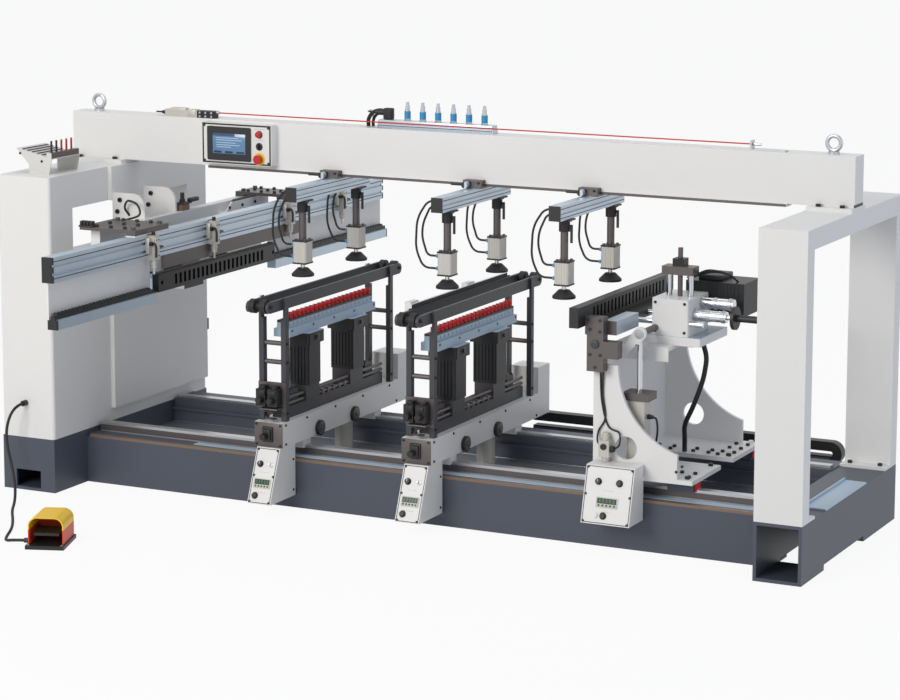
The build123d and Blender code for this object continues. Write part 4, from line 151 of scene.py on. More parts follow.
class Paintbox:
    """Makes each material once, out of shared node groups."""

    def __init__(self) -> None:
        """Build the shared groups."""
        self.made: dict[str, bpy.types.Material] = {}
        self.relief = self._relief_group()
        self.box = self._box_group()

    @staticmethod
    def _group(name: str, inputs: list[tuple[str, str]], outputs: list[tuple[str, str]]):
        """Make an empty shader group with its sockets and its two end nodes."""
        group = bpy.data.node_groups.new(name, "ShaderNodeTree")
        for label, kind in inputs:
            group.interface.new_socket(label, in_out="INPUT", socket_type=kind)
        for label, kind in outputs:
            group.interface.new_socket(label, in_out="OUTPUT", socket_type=kind)
        start = group.nodes.new("NodeGroupInput")
        end = group.nodes.new("NodeGroupOutput")
        return group, start, end

    def _relief_group(self) -> bpy.types.NodeTree:
        """Return the group for fine relief: two noises added, stretched along the grain."""
        group, start, end = self._group(
            "surface_relief",
            [("Vector", "NodeSocketVector"), ("Scale", "NodeSocketFloat"),
             ("Stretch", "NodeSocketVector"), ("Range", "NodeSocketFloat")],
            [("Shade", "NodeSocketFloat"), ("Height", "NodeSocketFloat")],
        )
        link = group.links.new
        stretch = group.nodes.new("ShaderNodeVectorMath")
        stretch.operation = "MULTIPLY"
        link(start.outputs["Vector"], stretch.inputs[0])
        link(start.outputs["Stretch"], stretch.inputs[1])
        fine = group.nodes.new("ShaderNodeTexNoise")
        fine.inputs["Detail"].default_value = 3.0
        link(stretch.outputs[0], fine.inputs["Vector"])
        link(start.outputs["Scale"], fine.inputs["Scale"])
        broad = group.nodes.new("ShaderNodeTexNoise")
        broad.inputs["Scale"].default_value = 4.0
        broad.inputs["Detail"].default_value = 5.0
        link(start.outputs["Vector"], broad.inputs["Vector"])
        both = group.nodes.new("ShaderNodeMath")
        both.operation = "ADD"
        link(fine.outputs["Fac"], both.inputs[0])
        link(broad.outputs["Fac"], both.inputs[1])
        centred = group.nodes.new("ShaderNodeMath")
        centred.operation = "SUBTRACT"
        centred.inputs[1].default_value = 1.0
        link(both.outputs[0], centred.inputs[0])
        shade = group.nodes.new("ShaderNodeMath")
        shade.operation = "MULTIPLY_ADD"
        shade.inputs[2].default_value = 1.0
        link(centred.outputs[0], shade.inputs[0])
        link(start.outputs["Range"], shade.inputs[1])
        link(shade.outputs[0], end.inputs["Shade"])
        link(fine.outputs["Fac"], end.inputs["Height"])
        return group

    def _box_group(self) -> bpy.types.NodeTree:
        """Return the group for a box mask: one where low < vector < high on each axis."""
        group, start, end = self._group(
            "box_mask",
            [("Vector", "NodeSocketVector"), ("Low", "NodeSocketVector"),
             ("High", "NodeSocketVector")],
            [("Mask", "NodeSocketFloat")],
        )
        link = group.links.new
        above = self._differences(group, start.outputs["Vector"], start.outputs["Low"])
        below = self._differences(group, start.outputs["High"], start.outputs["Vector"])
        previous = None
        for socket in above + below:
            step = group.nodes.new("ShaderNodeMath")
            step.operation = "GREATER_THAN"
            step.inputs[1].default_value = 0.0
            link(socket, step.inputs[0])
            if previous is None:
                previous = step.outputs[0]
                continue
            both = group.nodes.new("ShaderNodeMath")
            both.operation = "MULTIPLY"
            link(previous, both.inputs[0])
            link(step.outputs[0], both.inputs[1])
            previous = both.outputs[0]
        link(previous, end.inputs["Mask"])
        return group

    @staticmethod
    def _differences(group: bpy.types.NodeTree, first, second) -> list:
        """Return the three sockets of first minus second."""
        minus = group.nodes.new("ShaderNodeVectorMath")
        minus.operation = "SUBTRACT"
        group.links.new(first, minus.inputs[0])
        group.links.new(second, minus.inputs[1])
        split = group.nodes.new("ShaderNodeSeparateXYZ")
        group.links.new(minus.outputs[0], split.inputs[0])
        return [split.outputs["X"], split.outputs["Y"], split.outputs["Z"]]

    def material(self, finish: Finish, zones: tuple[Zone, ...] = (), name: str = "",
                 stretch: Point = (1.0, 1.0, 1.0)) -> bpy.types.Material:
        """Return a material of one finish, with other finishes inside its zones.

        Args:
            finish: the finish outside every zone.
            zones: boxes with a finish of their own, the later ones on top.
            name: the material's name, by default the finish's.
            stretch: how the relief is stretched along each axis.

        Returns:
            The material, made only once for each name.
        """
        label = name or finish.name
        if label in self.made:
            return self.made[label]
        material = bpy.data.materials.new(label)
        material.use_nodes = True
        tree = material.node_tree
        link = tree.links.new
        shader = tree.nodes["Principled BSDF"]
        coordinates = tree.nodes.new("ShaderNodeTexCoord")
        scale, depth, spread = finish.grain.value
        relief = tree.nodes.new("ShaderNodeGroup")
        relief.node_tree = self.relief
        link(coordinates.outputs["Object"], relief.inputs["Vector"])
        relief.inputs["Scale"].default_value = scale
        relief.inputs["Stretch"].default_value = stretch
        relief.inputs["Range"].default_value = spread
        color: object = finish.linear()
        rough: object = finish.roughness
        metal: object = finish.metallic
        for zone in zones:
            low, high = zone.corners()
            mask = tree.nodes.new("ShaderNodeGroup")
            mask.node_tree = self.box
            link(coordinates.outputs["Object"], mask.inputs["Vector"])
            mask.inputs["Low"].default_value = low
            mask.inputs["High"].default_value = high
            factor = mask.outputs["Mask"]
            color = self._mix(tree, "RGBA", factor, color, zone.finish.linear())
            rough = self._mix(tree, "FLOAT", factor, rough, zone.finish.roughness)
            metal = self._mix(tree, "FLOAT", factor, metal, zone.finish.metallic)
        tint = tree.nodes.new("ShaderNodeMix")
        tint.data_type = "RGBA"
        tint.blend_type = "MULTIPLY"
        tint.inputs["Factor"].default_value = 1.0
        self._feed(tree, color, tint.inputs[6])
        link(relief.outputs["Shade"], tint.inputs[7])
        link(tint.outputs[2], shader.inputs["Base Color"])
        worn = tree.nodes.new("ShaderNodeMath")
        worn.operation = "MULTIPLY"
        self._feed(tree, rough, worn.inputs[0])
        link(relief.outputs["Shade"], worn.inputs[1])
        link(worn.outputs[0], shader.inputs["Roughness"])
        self._feed(tree, metal, shader.inputs["Metallic"])
        bump = tree.nodes.new("ShaderNodeBump")
        bump.inputs["Strength"].default_value = 0.6
        bump.inputs["Distance"].default_value = depth
        link(relief.outputs["Height"], bump.inputs["Height"])
        link(bump.outputs["Normal"], shader.inputs["Normal"])
        self.made[label] = material
        return material

    @staticmethod
    def _feed(tree: bpy.types.NodeTree, value: object, socket) -> None:
        """Link a socket's value, or set a plain one."""
        if isinstance(value, bpy.types.NodeSocket):
            tree.links.new(value, socket)
        else:
            socket.default_value = value

    def _mix(self, tree: bpy.types.NodeTree, kind: str, factor, first: object, second: object):
        """Mix two values by a mask and return the result, or the first where they agree."""
        if not isinstance(first, bpy.types.NodeSocket) and first == second:
            return first
        mix = tree.nodes.new("ShaderNodeMix")
        mix.data_type = kind
        ends = (6, 7, 2) if kind == "RGBA" else (2, 3, 0)
        tree.links.new(factor, mix.inputs["Factor"])
        self._feed(tree, first, mix.inputs[ends[0]])
        self._feed(tree, second, mix.inputs[ends[1]])
        return mix.outputs[ends[2]]


class Shapes:
    """Surfaces worked out with numpy, in the machine's millimetres."""

    @staticmethod
    def grid(points: np.ndarray, wrap_rows: bool, wrap_columns: bool) -> Shell:
        """Join a grid of points by quads.

        Args:
            points: array of rows, columns and three coordinates.
            wrap_rows: whether the last row meets the first.
            wrap_columns: whether the last column meets the first.

        Returns:
            The flat vertices and the faces as index tuples.
        """
        rows, columns = points.shape[:2]
        index = np.arange(rows * columns).reshape(rows, columns)
        below = np.roll(index, -1, axis=0) if wrap_rows else index[1:]
        here = index if wrap_rows else index[:-1]
        if wrap_columns:
            corners = (here, np.roll(here, -1, 1), np.roll(below, -1, 1), below)
        else:
            corners = (here[:, :-1], here[:, 1:], below[:, 1:], below[:, :-1])
        faces = np.stack([part.ravel() for part in corners], axis=1)
        return points.reshape(-1, 3), [tuple(face) for face in faces.tolist()]

    @staticmethod
    def lathe(start: Point, axis: Point, profile: list[tuple[float, float]],
              sides: int = 24, turn: float = 0.0) -> Shell:
        """Turn a profile about an axis: point = start + along * axis + radius * circle.

        Args:
            start: where the axis begins.
            axis: its direction.
            profile: pairs of distance along the axis and radius, the ends on the axis.
            sides: how many sides the circle has.
            turn: where the first corner stands, in radians.

        Returns:
            A closed shell.
        """
        direction = np.array(axis, float)
        direction /= np.linalg.norm(direction)
        helper = np.array((0.0, 0.0, 1.0) if abs(direction[2]) < 0.9 else (1.0, 0.0, 0.0))
        across = np.cross(direction, helper)
        across /= np.linalg.norm(across)
        upward = np.cross(direction, across)
        angle = turn + np.linspace(0.0, 2 * math.pi, sides, endpoint=False)
        circle = np.cos(angle)[:, None] * across + np.sin(angle)[:, None] * upward
        along, radius = np.array(profile, float).T
        points = (
            np.array(start, float) + along[:, None, None] * direction
            + radius[:, None, None] * circle[None]
        )
        vertices, faces = Shapes.grid(points, False, True)
        last = len(vertices) - sides
        faces.append(tuple(range(sides - 1, -1, -1)))
        faces.append(tuple(range(last, last + sides)))
        return vertices, faces

    @staticmethod
    def pad(low: Point, high: Point, radius: float, steps: int = 4) -> Shell:
        """Rounded block: a ball's quarter arcs pushed out to the block's eight corners.

        Args:
            low: the block's low corner.
            high: its high corner.
            radius: how round its edges are.
            steps: arc steps in each quarter.

        Returns:
            A closed shell.
        """
        centre = (np.array(low, float) + np.array(high, float)) / 2
        half = (np.array(high, float) - np.array(low, float)) / 2
        round_off = min(radius, *(half * 0.98))
        quarter = np.linspace(0.0, math.pi / 2, steps)
        angle = np.concatenate([quarter + k * math.pi / 2 for k in range(4)])
        sign_x = np.repeat((1.0, -1.0, -1.0, 1.0), steps)
        sign_y = np.repeat((1.0, 1.0, -1.0, -1.0), steps)
        lift = np.concatenate([quarter - math.pi / 2, quarter])
        sign_z = np.repeat((-1.0, 1.0), steps)
        ball = np.stack(
            [np.cos(lift)[:, None] * np.cos(angle), np.cos(lift)[:, None] * np.sin(angle),
             np.sin(lift)[:, None] * np.ones(4 * steps)], axis=2)
        sign = np.stack(
            [np.ones(2 * steps)[:, None] * sign_x, np.ones(2 * steps)[:, None] * sign_y,
             sign_z[:, None] * np.ones(4 * steps)], axis=2)
        points = centre + sign * (half - round_off) + ball * round_off
        vertices, faces = Shapes.grid(points, False, True)
        ring = 4 * steps
        last = len(vertices) - ring
        faces.append(tuple(range(ring - 1, -1, -1)))
        faces.append(tuple(range(last, last + ring)))
        return vertices, faces

    @staticmethod
    def hose(points: list[Point], radius: float, sides: int = 12, steps: int = 8) -> Shell:
        """Carry a circle along a smooth line through the points (Catmull-Rom weights).

        Args:
            points: places on the line, the ends included.
            radius: the hose's radius.
            sides: how many sides the circle has.
            steps: how many pieces each stretch is divided into.

        Returns:
            A closed shell.
        """
        knots = np.array(points, float)
        knots = np.vstack([2 * knots[0] - knots[1], knots, 2 * knots[-1] - knots[-2]])
        share = np.linspace(0.0, 1.0, steps, endpoint=False)[:, None]
        line = [
            0.5 * (2 * b + (c - a) * share + (2 * a - 5 * b + 4 * c - d) * share**2
                   + (3 * b - a - 3 * c + d) * share**3)
            for a, b, c, d in zip(knots, knots[1:], knots[2:], knots[3:])
        ]
        path = np.vstack([*line, knots[-2]])
        heading = np.gradient(path, axis=0)
        heading /= np.linalg.norm(heading, axis=1)[:, None]
        frames = np.cross(heading, np.cross(heading[0], (0.31, 0.57, 0.76)))
        frames /= np.linalg.norm(frames, axis=1)[:, None]
        other = np.cross(heading, frames)
        angle = np.linspace(0.0, 2 * math.pi, sides, endpoint=False)
        points_grid = path[:, None] + radius * (
            np.cos(angle)[None, :, None] * frames[:, None]
            + np.sin(angle)[None, :, None] * other[:, None])
        vertices, faces = Shapes.grid(points_grid, False, True)
        last = len(vertices) - sides
        faces.append(tuple(range(sides - 1, -1, -1)))
        faces.append(tuple(range(last, last + sides)))
        return vertices, faces

    @staticmethod
    def cap_screw(start: Point, axis: Point, radius: float, height: float) -> Shell:
        """Socket head screw: a turned head with a chamfer and a round sunk socket."""
        profile = [
            (0.0, 0.02), (0.0, radius), (height * 0.82, radius), (height, radius * 0.86),
            (height, radius * 0.5), (height * 0.45, radius * 0.46), (height * 0.45, 0.02),
        ]
        return Shapes.lathe(start, axis, profile, 18)

    @staticmethod
    def join(shells: list[Shell]) -> Shell:
        """Put several shells into one list of vertices and faces."""
        vertices: list[np.ndarray] = []
        faces: list[tuple[int, ...]] = []
        count = 0
        for points, shell_faces in shells:
            vertices.append(points)
            faces.extend(tuple(k + count for k in face) for face in shell_faces)
            count += len(points)
        return np.vstack(vertices), faces


@dataclass
class Workshop:
    """Turns shells into pieces, and gives each its finish and the body it rides on."""

    paints: Paintbox
    count: int = 0

    def piece(self, name: str, shells: list[Shell], finish: Finish, body: str,
              zones: tuple[Zone, ...] = (), smooth: bool = True) -> bpy.types.Object:
        """Make one piece of the object.

        Args:
            name: the piece's name.
            shells: closed shells in the machine's millimetres.
            finish: its finish.
            body: the CAD body that it rides on.
            zones: boxes with a finish of their own.
            smooth: whether its faces are shaded smooth where they meet gently.

        Returns:
            The piece's object.
        """
        vertices, faces = Shapes.join(shells)
        metres = (vertices - (MIDDLE_X, MIDDLE_Y, 0.0)) * MILLIMETRE
        mesh = bpy.data.meshes.new(name)
        mesh.from_pydata(metres.tolist(), [], faces)
        work = bmesh.new()
        work.from_mesh(mesh)
        bmesh.ops.remove_doubles(work, verts=work.verts, dist=1e-6)
        bmesh.ops.dissolve_degenerate(work, edges=work.edges, dist=1e-7)
        bmesh.ops.recalc_face_normals(work, faces=work.faces)
        for edge in work.edges:
            edge.smooth = edge.calc_face_angle(0.0) < math.radians(35.0)
        for face in work.faces:
            face.smooth = smooth
        work.to_mesh(mesh)
        work.free()
        made = bpy.data.objects.new(name, mesh)
        bpy.context.scene.collection.objects.link(made)
        label = f"{name}_finish" if zones else ""
        mesh.materials.append(self.paints.material(finish, zones, label))
        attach(made, body)
        self.count += 1
        LOG.info("%s rides on %s with %d faces", name, body, len(mesh.polygons))
        return made


class Studio:
    """White surroundings, the lamps and the camera of the photograph."""

    def __init__(self, floor_height: float = 0.0) -> None:
        """Keep the floor's height."""
        self.floor_height = floor_height

    @staticmethod
    def _seen_only(tree: bpy.types.NodeTree):
        """Return a socket that is one for camera, glossy and transmission rays."""
        path = tree.nodes.new("ShaderNodeLightPath")
        previous = path.outputs["Is Camera Ray"]
        for name in ("Is Glossy Ray", "Is Transmission Ray"):
            either = tree.nodes.new("ShaderNodeMath")
            either.operation = "MAXIMUM"
            tree.links.new(previous, either.inputs[0])
            tree.links.new(path.outputs[name], either.inputs[1])
            previous = either.outputs[0]
        return previous

    def world(self) -> None:
        """Make the sky: white where it is seen, softer where it lights."""
        world = bpy.data.worlds.new("white_studio")
        bpy.context.scene.world = world
        world.use_nodes = True
        tree = world.node_tree
        tree.nodes.clear()
        lit = tree.nodes.new("ShaderNodeBackground")
        lit.inputs["Color"].default_value = (0.87, 0.91, 1.0, 1.0)
        lit.inputs["Strength"].default_value = 0.45
        seen = tree.nodes.new("ShaderNodeBackground")
        seen.inputs["Color"].default_value = (1.0, 1.0, 1.0, 1.0)
        seen.inputs["Strength"].default_value = 1.0
        mix = tree.nodes.new("ShaderNodeMixShader")
        end = tree.nodes.new("ShaderNodeOutputWorld")
        tree.links.new(self._seen_only(tree), mix.inputs[0])
        tree.links.new(lit.outputs[0], mix.inputs[1])
        tree.links.new(seen.outputs[0], mix.inputs[2])
        tree.links.new(mix.outputs[0], end.inputs["Surface"])

    def floor(self) -> None:
        """Make the floor, which keeps the shadow and is white elsewhere."""
        reach = 40.0
        mesh = bpy.data.meshes.new("studio_floor")
        height = self.floor_height - 0.0005
        mesh.from_pydata(
            [(-reach, -reach, height), (reach, -reach, height), (reach, reach, height),
             (-reach, reach, height)], [], [(0, 1, 2, 3)])
        floor = bpy.data.objects.new("studio_floor", mesh)
        bpy.context.scene.collection.objects.link(floor)
        material = bpy.data.materials.new("studio_white")
        material.use_nodes = True
        tree = material.node_tree
        tree.nodes.clear()
        matte = tree.nodes.new("ShaderNodeBsdfDiffuse")
        matte.inputs["Color"].default_value = (0.8, 0.8, 0.8, 1.0)
        glow = tree.nodes.new("ShaderNodeEmission")
        glow.inputs["Strength"].default_value = 1.0
        mix = tree.nodes.new("ShaderNodeMixShader")
        end = tree.nodes.new("ShaderNodeOutputMaterial")
        share = tree.nodes.new("ShaderNodeMath")
        share.operation = "MULTIPLY"
        share.inputs[1].default_value = 0.92
        tree.links.new(self._seen_only(tree), share.inputs[0])
        tree.links.new(share.outputs[0], mix.inputs[0])
        tree.links.new(matte.outputs[0], mix.inputs[1])
        tree.links.new(glow.outputs[0], mix.inputs[2])
        tree.links.new(mix.outputs[0], end.inputs["Surface"])
        mesh.materials.append(material)

    @staticmethod
    def lamp(name: str, spot: Point, aim: Point, size: float, watts: float,
             tint: Point) -> None:
        """Hang one square lamp at a spot, in metres, turned to its aim.

        Args:
            name: the lamp's name.
            spot: where it hangs.
            aim: the place that it shines on.
            size: the length of its sides.
            watts: its power.
            tint: its colour in linear light.
        """
        light = bpy.data.lights.new(name, "AREA")
        light.shape = "SQUARE"
        light.size = size
        light.energy = watts
        light.color = tint
        made = bpy.data.objects.new(name, light)
        made.location = spot
        toward = Vector(aim) - Vector(spot)
        made.rotation_euler = toward.to_track_quat("-Z", "Y").to_euler()
        bpy.context.scene.collection.objects.link(made)

    def lamps(self) -> None:
        """Hang the key lamp to the front left, a top lamp and a weak lamp to the right."""
        self.lamp("key", (-1.6, -7.0, 3.8), (0.1, 0.0, 0.7), 3.0, 275.0, (1.0, 0.965, 0.90))
        self.lamp("top", (0.4, 0.6, 6.0), (0.0, 0.0, 0.6), 4.5, 60.0, (1.0, 1.0, 1.0))
        self.lamp("side", (6.5, -1.2, 2.2), (0.0, 0.0, 0.5), 3.0, 36.0, (0.66, 0.78, 1.0))

    @staticmethod
    def camera() -> None:
        """Stand the camera where the photograph was taken from, with its shift and lens."""
        azimuth, elevation, roll = (math.radians(a) for a in (25.43, 8.95, 0.26))
        level = math.cos(elevation)
        forward = Vector((-math.sin(azimuth) * level, math.cos(azimuth) * level,
                          -math.sin(elevation)))
        right = forward.cross(Vector((0.0, 0.0, 1.0))).normalized()
        upward = right.cross(forward)
        across = right * math.cos(roll) + upward * math.sin(roll)
        above = upward * math.cos(roll) - right * math.sin(roll)
        data = bpy.data.cameras.new("photo_camera")
        data.sensor_width = 36.0
        data.lens = 111.175
        data.shift_x = -0.0682
        data.shift_y = -0.1111
        data.clip_end = 100.0
        made = bpy.data.objects.new("photo_camera", data)
        made.matrix_world = Matrix.Translation((4.6384, -9.22678, 2.58255)) @ Matrix(
            (across, above, -forward)).transposed().to_4x4()
        bpy.context.scene.collection.objects.link(made)
        bpy.context.scene.camera = made

    def build(self) -> None:
        """Set up the whole studio."""
        bpy.context.scene.view_settings.view_transform = "Standard"
        self.world()
        self.floor()
        self.lamps()
        self.camera()


@dataclass
class Frame:
    """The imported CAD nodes, each given its finish where it stands."""

    nodes: dict[str, bpy.types.Object]
    paints: Paintbox
    painted: list[str] = field(default_factory=list)

    def paint(self, node: str, finish: Finish, *zones: Zone,
              stretch: Point = (1.0, 1.0, 1.0)) -> None:
        """Give one node its finish, with other finishes inside the zones.

        Args:
            node: the node's name.
            finish: the finish outside every zone.
            zones: boxes with a finish of their own, the later ones on top.
            stretch: how the relief is stretched along each axis.
        """
        name = f"{node}_finish"
        material = self.paints.material(finish, zones, name, stretch)
        slots = self.nodes[node].material_slots
        if not len(slots):
            self.nodes[node].data.materials.append(material)
        for slot in slots:
            slot.material = material
        self.painted.append(node)

    def frame_parts(self) -> None:
        """Paint the stands, the bed, the rails and the beam."""
        self.paint("left_base", DARK)
        self.paint("right_base", DARK, Zone(BLUE_GREY, x=(3145, 3240), y=(275, 725), z=(208.3, 225)))
        self.paint("front_bed_beam", DARK)
        self.paint("rear_bed_beam", DARK, Zone(BRIGHT, y=(379, 850), z=(109, 119)))
        self.paint(
            "left_stand", WHITE,
            Zone(BLACK, x=(175, 240), y=(1101, 1145), z=(440, 500)),
            Zone(BLACK, x=(90, 130), y=(-30, -0.5), z=(325, 360)),
        )
        self.paint(
            "right_stand", WHITE, Zone(BLACK, z=(218.5, 232), x=(3062, 3234), y=(104, 170)),
            Zone(BLACK, z=(218.5, 232), x=(3062, 3234), y=(930, 996)),
        )
        self.paint(
            "linear_rails", BRIGHT, Zone(BROWN, y=(200, 240.5), z=(170, 188.5)),
            Zone(BROWN_STEEL, z=(192, 214)),
            Zone(BLUE_GREY, y=(245, 295), z=(188.2, 192)), stretch=(0.05, 1.0, 1.0),
        )
        self.paint("cross_beam", WHITE, Zone(BROWN_STEEL, z=(1221, 1231.9), x=(625, 2986)))
        self.paint(
            "beam_fasteners", WHITE, Zone(IRON, z=(1232.5, 1243)), Zone(BRIGHT, z=(1413, 1480)),
        )
        self.paint(
            "operator_panel", WHITE, Zone(BLACK, x=(640, 846), y=(450, 467.5), z=(1255, 1395)),
            Zone(DISPLAY, x=(671, 817), y=(455, 467), z=(1286.5, 1364.5)),
            Zone(YELLOW, x=(850, 902), y=(440, 467.8), z=(1248, 1298)),
            Zone(RED, x=(864, 888), y=(440, 467.6), z=(1355, 1380)),
        )
        self.paint("estop_button", RED)
        self.paint("selector_knob", BLACK)
        self.paint("rope_switch", BRIGHT, Zone(SILVER, x=(425, 655)), Zone(IRON, x=(572, 652)))
        self.paint("pull_wire", RED, Zone(BRIGHT, x=(600, 667)), Zone(BRIGHT, x=(2849, 2990)))
        self.paint(
            "air_manifold", ALUMINIUM, Zone(BLACK, z=(1400, 1513), x=(1300, 1410)),
            Zone(BLUE, z=(1450.5, 1478.5), x=(1440, 1900)), Zone(BRIGHT, z=(1478.5, 1520), x=(1440, 1900)),
            stretch=(0.05, 1.0, 1.0),
        )
        self.paint(
            "tool_rack", RACK,
            Zone(BROWN_STEEL, x=(168.5, 193.5), y=(83.5, 266.5), z=(1262, 1300)),
            *[
                Zone(RED if k > 1 else BLACK, x=(172, 190), y=(94 + 33 * k, 106 + 33 * k), z=(1279, 1420))
                for k in range(5)
            ],
        )
        self.paint("energy_chain", BLACK, stretch=(0.2, 1.0, 1.0))

    def side_units(self) -> None:
        """Paint the left bridge, its fence and drills, and the unit on the right."""
        self.paint(
            "left_bridge", BROWN_STEEL, Zone(WHITE, z=(803, 975)), Zone(WHITE, z=(975, 1021)),
            Zone(WHITE, x=(252, 402), y=(398, 414)), Zone(WHITE, x=(252, 402), y=(618, 634)),
            Zone(BROWN, x=(384, 416), y=(644, 701), z=(1020.5, 1046)),
            Zone(BLACK, x=(384, 416), y=(644, 701), z=(1046, 1120)),
        )
        self.paint(
            "fence_beam", ALUMINIUM, *self._stop_zones(),
            Zone(BROWN_STEEL, x=(606, 621.5), y=(185, 1232), z=(872, 924.9)),
            Zone(BLACK, y=(-560, -531)), Zone(BLACK, y=(1936, 1960)), stretch=(1.0, 0.04, 1.0),
        )
        self.paint("stop_rods", CHROME)
        self.paint(
            "roller_rails", ALUMINIUM, Zone(BLACK, x=(594.2, 640), z=(790.5, 830)),
            Zone(BLACK, y=(-560, -521)), Zone(BLACK, y=(1957, 1980)),
            Zone(WHITE, x=(580, 598), z=(790.3, 926)), stretch=(1.0, 0.05, 1.0),
        )
        self.paint(
            "left_drill_unit", BLACK, Zone(BLUE_GREY, x=(520, 599.5), z=(785, 840)),
            Zone(CHROME, x=(330, 429.5)), Zone(WHITE, x=(429.5, 524.5), z=(740, 800)),
        )
        self.paint(
            "right_frame", WHITE,
            Zone(DARK, z=(180, 255.8)), Zone(IRON, x=(2600, 2770), y=(242, 863), z=(272.3, 290)),
            Zone(BROWN_STEEL, x=(2520, 2650), y=(485, 555), z=(951.5, 983)),
            Zone(IRON, x=(2550, 2630), y=(485, 555), z=(983, 1015)),
            Zone(CHROME, x=(2530, 2640), y=(500, 540), z=(709, 951)),
            Zone(SILVER, x=(2415, 2460), y=(180, 224.5), z=(300, 420)),
            Zone(SILVER, x=(2490, 2560), y=(262, 338), z=(274, 529)),
            Zone(BROWN_STEEL, x=(2470, 2580), y=(250, 345), z=(529.5, 560)),
        )
        self.paint("right_control_box", WHITE)
        self.paint("right_knob", BLACK)
        self.paint(
            "right_head", WHITE,
            Zone(ALUMINIUM, x=(2498, 2702), y=(430.4, 699.6), z=(736, 739.3)),
            Zone(CHROME, x=(2650.2, 2800), y=(470, 600), z=(790, 875)),
            Zone(IRON, x=(2558, 2787), y=(640.3, 802), z=(789, 912)),
            Zone(IRON, x=(2650.4, 2787), y=(639, 802), z=(789, 912)),
            Zone(IRON, x=(2558, 2651), y=(639, 802), z=(872.5, 912)),
            Zone(BLACK, x=(2798, 2980), y=(440, 700), z=(740, 930)),
            Zone(BROWN_STEEL, x=(2540, 2600), y=(490, 550), z=(872.2, 1060)),
            Zone(CHROME, x=(2510, 2540), y=(260, 340), z=(480, 728)),
            Zone(BROWN_STEEL, x=(2505, 2545), y=(307.3, 439.7), z=(746, 790)),
        )
        self.paint(
            "right_drill_unit", BLACK,
            Zone(BROWN_STEEL, x=(2365.5, 2500), y=(178, 222), z=(630, 836)),
            Zone(ALUMINIUM, x=(2419.5, 2470), y=(222, 421), z=(766, 820)),
            Zone(CHROME, x=(2420.5, 2720), y=(440, 640), z=(770, 800)),
        )
        self.paint("right_hoses", RUBBER)

    @staticmethod
    def _stop_zones() -> list[Zone]:
        """Return the zones of the four stop cylinders on the fence."""
        return [
            zone
            for y in (95, 525, 1113, 1550)
            for zone in (
                Zone(SILVER, x=(620.3, 700), y=(y - 20, y + 35), z=(880, 1016)),
                Zone(BLACK, x=(620.3, 700), y=(y + 17.2, y + 40), z=(880, 1016)),
                Zone(BLACK, x=(616, 700), y=(y - 20, y + 40), z=(1014.3, 1040)),
            )
        ]

    def heads(self) -> None:
        """Paint the two vertical boring heads."""
        for number, middle in ((1, 1112), (2, 1729)):
            head = f"head_{number}"
            self.paint(
                f"{head}_saddle", WHITE, Zone(BLACK, x=(middle + 59.4, middle + 90), z=(240, 310)),
                Zone(CHARCOAL, x=(middle - 42, middle + 42), y=(204, 952), z=(342.3, 446)),
                Zone(SILVER, x=(middle - 36, middle + 36), y=(655, 732), z=(100, 247.5)),
            )
            self.paint(f"{head}_control_box", WHITE)
            self.paint(f"{head}_knob", BLACK)
            self.paint(
                f"{head}_support_frame", CHARCOAL,
                Zone(BROWN_STEEL, x=(middle - 36, middle + 36), z=(540, 650)),
                Zone(BROWN_STEEL, y=(142.8, 149.3), z=(380, 490)), Zone(BLACK, y=(95, 142.8), z=(380, 490)),
                Zone(WHITE, x=(middle - 90, middle - 47.2), z=(785, 830)),
            )
            for side in ("front", "rear"):
                self.paint(f"{head}_{side}_rollers", RUBBER)
            self.paint(
                f"{head}_drill_block", BLUE_GREY, Zone(BLACK, z=(702, 711)),
                Zone(IRON, x=(middle - 60, middle + 60), z=(440, 646.8)),
                Zone(CHROME, y=(250, 274), z=(340, 646.8)), Zone(CHROME, y=(838, 862), z=(340, 646.8)),
            )
            self.paint(f"{head}_chucks", CHUCK_RED)

    def pressers(self) -> None:
        """Paint the three pressers."""
        for number, middle in ((1, 1172), (2, 1774), (3, 2239)):
            presser = f"presser_{number}"
            self.paint(
                f"{presser}_arm", ALUMINIUM, Zone(BLACK, y=(180, 194.2), z=(1150, 1220)),
                Zone(BROWN_STEEL, y=(470, 600), z=(1215.3, 1260)),
                Zone(BLACK, x=(middle - 90, middle - 17.8), y=(440, 477.6), z=(1215.3, 1260)),
                stretch=(1.0, 0.05, 1.0),
            )
            self.paint(
                f"{presser}_cylinders", SILVER,
                Zone(BROWN_STEEL, z=(1010.3, 1155)), Zone(IRON, z=(1114.8, 1162)),
                Zone(BLACK, x=(middle + 27.3, middle + 60), z=(1060, 1150)),
                Zone(BLUE, x=(middle - 60, middle - 27.8), z=(920, 1008)),
                stretch=(1.0, 1.0, 0.1),
            )
            self.paint(f"{presser}_hoses", RUBBER)
            self.paint(f"{presser}_feet", RUBBER, Zone(CHROME, z=(905.3, 1000)))

    def pedal(self) -> None:
        """Paint the foot pedal."""
        self.paint("pedal_base", BLACK)
        self.paint("pedal_hood", YELLOW, Zone(ORANGE, z=(0, 66)))
        self.paint("pedal_treadle", BLACK)


